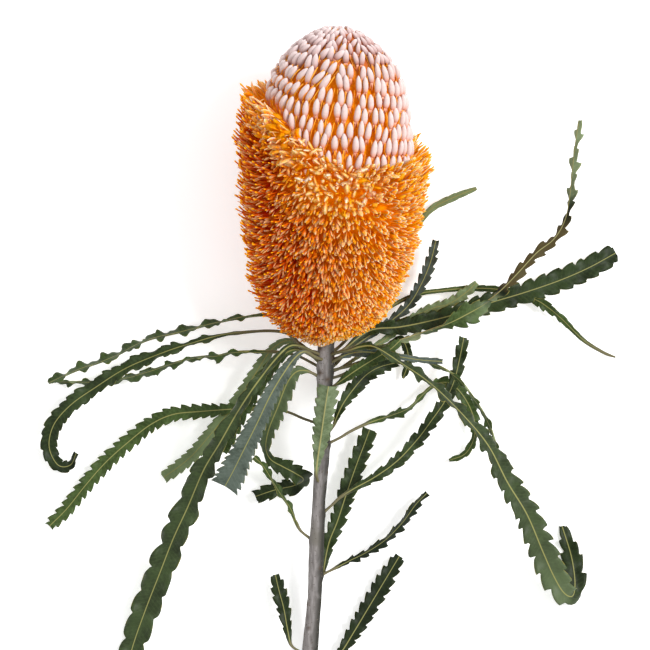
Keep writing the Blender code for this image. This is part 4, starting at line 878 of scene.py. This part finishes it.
def build_open_florets(paints):
    """About 1,700 open florets: a style and a filament each, with four pointed limbs round them."""
    rng = np.random.default_rng(FLORET_SEED)
    bed, sites = floret_sites(rng)
    angle, far, share, below = sites.T
    count = len(sites)
    height, radius = bed.height_radius(far)
    normal = bed.directions(angle, far)[1]
    # Where on the head a floret is, each from 0 to 1 but for turned: -1 at the left to 1 at the right
    turned = np.sin(angle)
    on_left = turned < 0
    facing = np.clip(np.cos(angle), 0, 1) ** 1.7
    rim = np.maximum(smooth(-turned, 0.6, 0.95), 0.8 * smooth(turned, 0.75, 0.97))
    past = smooth(below, 2.5, -6.5)
    fringe = smooth(share, 0.1, 0.03) * smooth(np.cos(angle + 0.4), 0.88, 0.98)
    curled = smooth(np.cos(angle + 0.35), 0.4, 0.8) * smooth(below, 14, 6)
    flared = smooth(-turned, 0.25, 0.55) * smooth(below, 13, 6) * smooth(np.cos(angle), -0.1, 0.2)

    lean = np.where(on_left, along(LEFT_LEANS, share), along(RIGHT_LEANS, share)) * (1 - facing)
    lean = lean + (along(FRONT_LEANS, share) + 0.6 * smooth(turned, 0.1, 0.6) * smooth(share, 0.7, 1)) * facing
    lean = lean + past * (0.3 + 0.5 * facing + 0.5 * rim * on_left) - 0.8 * fringe
    kept = 1 - (1 - along(RIGHT_LENGTHS, height)) * smooth(turned, -0.05, 0.55)
    length = along(FLORET_LENGTHS, share) * rng.uniform(0.8, 1.06, count) * (1 - 0.5 * past) * kept
    stretch = 1 + rim * rng.uniform(-0.06, 0.46, count) * np.where(on_left, 1, 0.35)
    length = length * (1 - 0.11 * facing) * stretch + 0.5 * fringe
    length = length * (1 + smooth(turned, 0.5, 0.9) * smooth(share, 0.68, 0.88) * rng.uniform(0.0, 0.4, count))
    base = head_point(angle, np.maximum(height - 2.2 * lean * (1 - facing), 3.5),
                      np.maximum(radius - CORE_DEPTH - 3.0 * smooth(below, 9, 0), 2.5))
    target = head_point(angle, height, radius) + by(length, unit(
        normal + by(lean, AXIS) - SWIRL * outward(angle + math.pi / 2) + rng.normal(0, 0.1, (count, 3))))
    way = unit(target - base)
    size = np.linalg.norm(target - base, axis=1)
    sag = by(way @ AXIS, way) - AXIS
    up = unit(-sag)
    side = np.cross(way, up)
    # Painted light and colour: red in painted shade at the left, gold in painted light at the right, brighter still
    # where the florets curl at the front.
    gold_and_painted_light = np.clip(head_gold_and_painted_light(angle, height) + 0.5 * curled + 0.16 * flared + 0.2 * smooth(share, 0.85, 1)
                   + 0.35 * smooth(below, 10, 3) * smooth(-turned, 0.5, 0.9) * smooth(np.cos(angle), 0.3, 0.0)
                   + rng.normal(0, 0.07, count), 0, 1)
    fresh = smooth(np.sin(angle + 0.05), -0.35, 0.7) * smooth(share, 0.0, 0.4) + 0.5 * smooth(below, 9, 1)
    fresh = np.clip(fresh, 0, 1)
    edged = np.maximum(fresh * (1 - 0.75 * curled), 0.8 * flared)

    def threads(name, paint, starts, ways, sizes, rings, radii, bow, section):
        """One slightly bowed thread for each floret."""
        arch = np.sin(math.pi * rings)
        centres = (starts[:, None] + by(rings, by(sizes, ways)[:, None]) - by(np.outer(bow, arch), up[:, None])
                   + by(np.outer(rng.normal(0, 0.35, count), arch), side[:, None]))
        thick = radii * (rng.uniform(0.9, 1.15, count) * (1 + 0.25 * rim - 0.2 * fresh * (1 - rim)))[:, None]
        tubes = many_tubes(centres, side[:, None], up[:, None], thick, thick, section)
        add_tubes(name, [tubes], paints[paint], "floret_orange", "open_florets",
                  floret=stored(rings, len(section), gold_and_painted_light, fresh))

    threads("floret_styles", "style", base, way, size * (1 - 0.12 * curled), STYLE_RINGS, STYLE_RADII,
            rng.uniform(0.2, 0.9, count) + 0.9 * past, SQUARE)
    strays = unit(way + rng.normal(0, 0.16, (count, 3)))
    threads("floret_filaments", "filament", base + rng.normal(0, 0.7, (count, 3)), strays,
            size * (rng.uniform(0.72, 0.95, count) - 0.1 * rim - 0.2 * edged), FILAMENT_RINGS, FILAMENT_RADII,
            rng.uniform(-0.5, 0.9, count), TRIANGLE)

    steps = np.diff(LIMB_RINGS)
    middle = (LIMB_RINGS[1:] + LIMB_RINGS[:-1]) / 2
    widths = DROP_WIDTHS + edged[:, None] * (RIBBON_WIDTHS - DROP_WIDTHS)
    corners = len(LIMB_RINGS) * len(KEEL)
    for name, turns in (("floret_limbs_lower", (225, 315)), ("floret_limbs_upper", (45, 135))):
        parts, tones = [], []
        for turn in turns:
            phi = np.radians(turn) + rng.normal(0, 0.3, count) * (1 + 0.6 * curled)
            radial = by(np.sin(phi), up) + by(np.cos(phi), side)
            droop = rng.uniform(0.8, 2.6, count) * (1 - 0.7 * fresh) * (1 - 0.9 * curled) * (1 - 0.4 * rim)
            bend_way = unit(radial + by(droop, sag))
            hooked = np.maximum(curled, 0.7 * flared) * (rng.uniform(0, 1, count) < 0.45)
            bend = np.radians((rng.uniform(22, 70, count) * (1 - fresh) + rng.uniform(4, 22, count) * fresh)
                              * (1 - 0.7 * rim) * (1 - 0.5 * fringe) + hooked * rng.uniform(80, 190, count))
            run = size * (rng.uniform(0.76, 0.98, count) + 0.14 * fresh + 0.08 * curled + 0.25 * fringe
                          - 0.08 * rim)
            onset = (0.45 + 0.1 * hooked)[:, None]
            lean_out = 0.04 + np.clip((middle - onset) / (1 - onset), 0, 1) ** 0.8 * bend[:, None]
            heading = by(np.cos(lean_out), way[:, None]) + by(np.sin(lean_out), bend_way[:, None])
            start = (base + 0.3 * radial)[:, None]
            moves = by(np.outer(run, steps), heading)
            centres = np.concatenate([start, start + np.cumsum(moves, axis=1)], axis=1)
            across = unit(np.cross(way, bend_way))[:, None]
            heads = unit(np.concatenate([heading[:, :1], heading[:, 1:] + heading[:, :-1], heading[:, -1:]], axis=1))
            scale = (rng.uniform(0.6, 1.25, count) * (1 + 0.2 * fringe - 0.2 * rim + 0.65 * flared + 0.1 * curled
                                                      + 0.5 * fresh * (1 - curled)))[:, None]
            parts.append(many_tubes(centres, across, np.cross(across, heads), widths * scale,
                                    LIMB_DEPTHS * scale * (1 - 0.4 * edged)[:, None], KEEL))
            tone = rng.uniform(0, 1, count) * (1 + 0.9 * curled) + fringe - 0.1 * flared
            tones.append(np.repeat(np.clip(tone, 0, 2), corners))
        add_tubes(name, parts, paints["limb"], "floret_orange", "open_florets",
                  floret=stored(LIMB_RINGS, len(KEEL), gold_and_painted_light, edged, 2),
                  ridge=np.tile(RIDGE, 2 * count * len(LIMB_RINGS)), tone=np.concatenate(tones))
    build_edge_strands(rng, paints)


def build_edge_strands(rng, paints):
    """Filaments along the upper edge of the open florets, which cover the core there."""
    count = EDGE_STRANDS
    angle = (np.arange(count) + rng.uniform(-0.4, 0.4, count)) * math.tau / count
    height = edge_height(angle) + rng.uniform(-5.5, 2.5, count)
    dome = Bed(BUD_BED)
    climb, normal = dome.directions(angle, dome.far_at(height))
    low = head_point(angle, height - 3.0, dome.radius_at(height) - 2.2)
    way = unit(climb + by(rng.uniform(0.15, 0.75, count), normal) + rng.normal(0, 0.16, (count, 3)))
    lines = low[:, None] + by(FILAMENT_RINGS, by(rng.uniform(6.0, 9.5, count), way)[:, None])
    across = unit(np.cross(way, normal))
    radii = FILAMENT_RADII[None]
    tubes = many_tubes(lines, across[:, None], np.cross(across, way)[:, None], radii, radii, TRIANGLE)
    # the strands are all painted fairly well lit and golden (0.8)
    add_tubes("edge_filaments", [tubes], paints["filament"], "floret_orange", "open_florets",
              floret=stored(FILAMENT_RINGS, len(TRIANGLE), np.full(count, 0.8), np.ones(count)))


def build_core(paints):
    """The head's own body, deep between the florets."""
    turns = around(CORE_SIDES)
    heights = np.concatenate([[5.5, 6.0], np.arange(8, 124, 2.0), [124.5, 125.8, 126.4]])
    bed, dome, edge = Bed(FLORET_BED), Bed(BUD_BED), edge_height(turns)
    rings, high, gold_and_painted_light = [], [], []
    for height in heights:
        mix = smooth(height, edge - 13, edge - 2)
        lower = bed.radius_at(height) - CORE_GAP + 0.6 * smooth(np.sin(turns), -0.4, 0.6) * smooth(height, 30, 60)
        lower = np.maximum(lower - 1.6 * smooth(np.sin(turns), 0, 0.7) * smooth(height, 40, 20), 2.0)
        upper = max(dome.radius_at(height) - 2.6, 1.0)
        radius = lower * (1 - mix) + upper * mix if height >= 6 else np.full(len(turns), 3.0)
        radius = radius + 0.3 * np.sin(turns * 23 + height * 0.9) * (height > 10)
        rings.append(head_point(turns, np.full(len(turns), height), radius))
        high.append(smooth(height, edge - 10, edge + 4) + smooth(height, 104, 124))
        # painted light and gold by place on the head
        gold_and_painted_light.append(head_gold_and_painted_light(turns, height))
    add_piece("head_core", np.concatenate(rings), tube_faces(len(heights), len(turns)), [paints["core"]],
              (), {"height": np.concatenate(high), "gold_and_painted_light": np.concatenate(gold_and_painted_light)})


BUD_SEED = 5
BUD_PITCH = 3.85
BUD_ROW_STEP = 6.0
BUD_START = 62          # height of the lowest row
BUD_SPIRAL = 3          # rows that each row climbs in one turn
BUD_LENGTH = 6.7
BUD_HALF_WIDTH = 1.25


def bud_sites(rng):
    """Where the buds stand: angle, distance along the bed, and size."""
    bed = Bed(BUD_BED)
    sites = []
    far, row, last = bed.far_at(BUD_START), 0, bed.far[-1]
    while far < last + 1.0:
        height, radius = bed.height_radius(min(far, last))
        size = 0.7 + 0.3 * smooth(height, 127, 112)
        step = BUD_ROW_STEP * size ** 1.6
        count = max(3, 2 * round(math.pi * radius / (BUD_PITCH * size)))
        number = np.arange(count)
        pair = np.where(number % 2 == 0, 0.08, -0.08)
        angles = (number + 0.5 * (row % 2) + pair + rng.uniform(-0.13, 0.13, count)) * math.tau / count
        spiral = step * BUD_SPIRAL * ((angles + math.pi) % math.tau - math.pi) / math.tau * smooth(radius, 4, 14)
        fars = np.clip(far - spiral + rng.normal(0, 0.6, count) * size, 0, last)
        for angle, place, tall in zip(angles, fars, bed.height_radius(fars)[0]):
            if tall > edge_height(angle) + 2.0 - 2.5 * smooth(-math.cos(angle), -0.2, 0.4):
                sites.append((angle, place, size))
        far += step
        row += 1
    return bed, np.array(sites)


def build_buds(paints):
    """The dome of unopened florets: downy ovals on pink fringed stalks, with strands of style between them."""
    rng = np.random.default_rng(BUD_SEED)
    bed, sites = bud_sites(rng)
    angle, far, size = sites.T
    count = len(sites)
    height, radius = bed.height_radius(far)
    climb, normal = bed.directions(angle, far)
    leftness = smooth(np.sin(0.2 - angle), -0.02, 0.12) * smooth(
        height - 115 + 15 * smooth(-np.sin(angle), -0.1, 0.6), -5, 4)
    crown = smooth(height, 106, 124)
    tip = smooth(radius, 9, 3)
    twist = np.radians(2 + 40 * leftness * (1 - 0.5 * crown) + rng.normal(0, 1, count) * (6 + 16 * crown))
    tilt = np.radians(10 + 8 * leftness + 4 * crown + 48 * tip + rng.normal(0, 4, count))
    flat_way = by(np.cos(twist), climb) + by(np.sin(twist), np.cross(climb, normal))
    way = unit(by(np.cos(tilt), flat_way) + by(np.sin(tilt), normal))
    across = unit(np.cross(way, normal))
    outer = np.cross(across, way)
    long = BUD_LENGTH * size * rng.uniform(0.9, 1.1, count) * (1 + 0.04 * leftness)
    wide = BUD_HALF_WIDTH * size * rng.uniform(0.9, 1.1, count) * (1 + 0.16 * leftness + 0.04 * crown)
    sunk = 0.9 * size - 1.3 * smooth(height, 108, 122) - 1.2 * tip
    start = head_point(angle, height, radius) + by(sunk, normal) - by(0.5 * long, way)
    tone = rng.uniform(0, 1, count)

    def add(name, paint, slot, rings, lines, widths, section):
        """One piece of tubes, with one set of lines and widths for each part of it."""
        parts = [many_tubes(line, across[:, None], outer[:, None], widths, widths, section) for line in lines]
        add_tubes(name, parts, paints[paint], slot, "bud_florets",
                  floret=stored(rings, len(section), crown, tone, len(lines)))

    centres = start[:, None] + by(BUD_RINGS, by(long, way)[:, None])
    centres = centres + by(0.25 * np.sin(math.pi * BUD_RINGS), outer[:, None])
    add("buds_downy", "bud", "bud_pink", BUD_RINGS, [centres], BUD_WIDTHS * wide[:, None], OCTAGON)

    rings = np.linspace(0, 1, 6)
    t = rings[None, :, None]
    legs = []
    for lateral in (-1.0, 0.0, 1.0):
        shift = (lateral + rng.normal(0, 0.25, count)) * size
        foot = start - by((2.9 - abs(lateral)) * size, climb) - by(1.5 * size, normal) + by(shift, across)
        bend = start - by(size, flat_way) + by(0.55 * shift, across) + 0.1 * normal
        joint = start + 0.12 * by(long, way) + by(0.3 * lateral * size, across)
        legs.append((1 - t) ** 2 * foot[:, None] + 2 * t * (1 - t) * bend[:, None] + t ** 2 * joint[:, None])
    add("bud_stalks", "stalk", "floret_orange", rings, legs,
        np.array([0.22, 0.26, 0.3, 0.36, 0.42, 0.3]) * size[:, None], TRIANGLE)

    rings = np.linspace(0, 1, 7)
    t = rings[None, :, None]
    strands = []
    for lateral, reach in ((-1.5, 1.0), (1.5, 1.05), (-0.75, 0.9), (0.8, 0.85)):
        shift = (lateral + rng.normal(0, 0.3, count)) * size
        foot = start - by(2.2 * size, climb) - by(1.7 * size, normal)
        end = start + by(reach * long, way) - by((1.1 + 0.8 * crown) * size, normal)
        out = ((0.9 + 1.3 * leftness) * (1 - crown) * size * rng.uniform(0.5, 1.2, count))[:, None, None]
        strands.append(foot[:, None] * (1 - t) + end[:, None] * t + np.sin(math.pi * t) * out * normal[:, None]
                       + shift[:, None, None] * np.sin(0.5 * math.pi * t) ** 0.7 * across[:, None])
    add("bud_style_loops", "loop", "floret_orange", rings, strands, 0.24 * size[:, None], KEEL)


LIGHTS = (("key", (0.8, 0.25, 1), 3, 20), ("fill", (-0.7, 0.2, 1), 0.3, 60))     # way to it, strength, degrees
FLOOR_HALF = 6          # metres
FLOOR_LOOK = {"Base Color": (0.92, 0.92, 0.92, 1), "Roughness": 0.9, "Specular IOR Level": 0.0,
              "Emission Color": (1, 1, 1, 1), "Emission Strength": 0.36}


def build_setting():
    """Pale floor, soft light and the camera straight above."""
    scene = bpy.context.scene
    link = scene.collection.objects.link
    floor = bpy.data.objects.new("floor", bpy.data.meshes.new("floor"))
    corners = [(x * FLOOR_HALF, y * FLOOR_HALF, 0) for x, y in ((-1, -1), (1, -1), (1, 1), (-1, 1))]
    floor.data.from_pydata(corners, [], [(0, 1, 2, 3)])
    link(floor)
    pale = bpy.data.materials.new("floor_pale")
    pale.use_nodes = True
    for key, value in FLOOR_LOOK.items():
        pale.node_tree.nodes["Principled BSDF"].inputs[key].default_value = value
    floor.data.materials.append(pale)

    scene.world = bpy.data.worlds.new("studio")
    scene.world.use_nodes = True
    background = scene.world.node_tree.nodes["Background"]
    background.inputs["Color"].default_value = (1, 1, 1, 1)
    background.inputs["Strength"].default_value = 0.78
    for name, direction, strength, angle in LIGHTS:
        sun = bpy.data.lights.new(name, "SUN")
        sun.energy = strength
        sun.angle = math.radians(angle)
        lamp = bpy.data.objects.new(name, sun)
        lamp.rotation_euler = Vector(direction).to_track_quat("Z", "Y").to_euler()
        link(lamp)

    lens = bpy.data.cameras.new("camera")
    lens.sensor_width = 36
    lens.lens = lens.sensor_width * CAMERA_DISTANCE / VIEW_WIDTH
    lens.clip_start, lens.clip_end = 0.1, 20
    camera = bpy.data.objects.new("camera", lens)
    camera.location = (np.array([*VIEW_CENTRE, VIEW_HEIGHT + CAMERA_DISTANCE]) - ORIGIN) * METRES
    link(camera)
    scene.camera = camera
    scene.view_settings.view_transform = "Standard"


def main():
    """Dresses the whole flower."""
    paints = make_paints()
    build_stem(paints)
    for number, leaf in enumerate(LEAVES, 1):
        build_leaf(number, leaf, paints)
    build_core(paints)
    build_open_florets(paints)
    build_buds(paints)
    build_setting()


main()
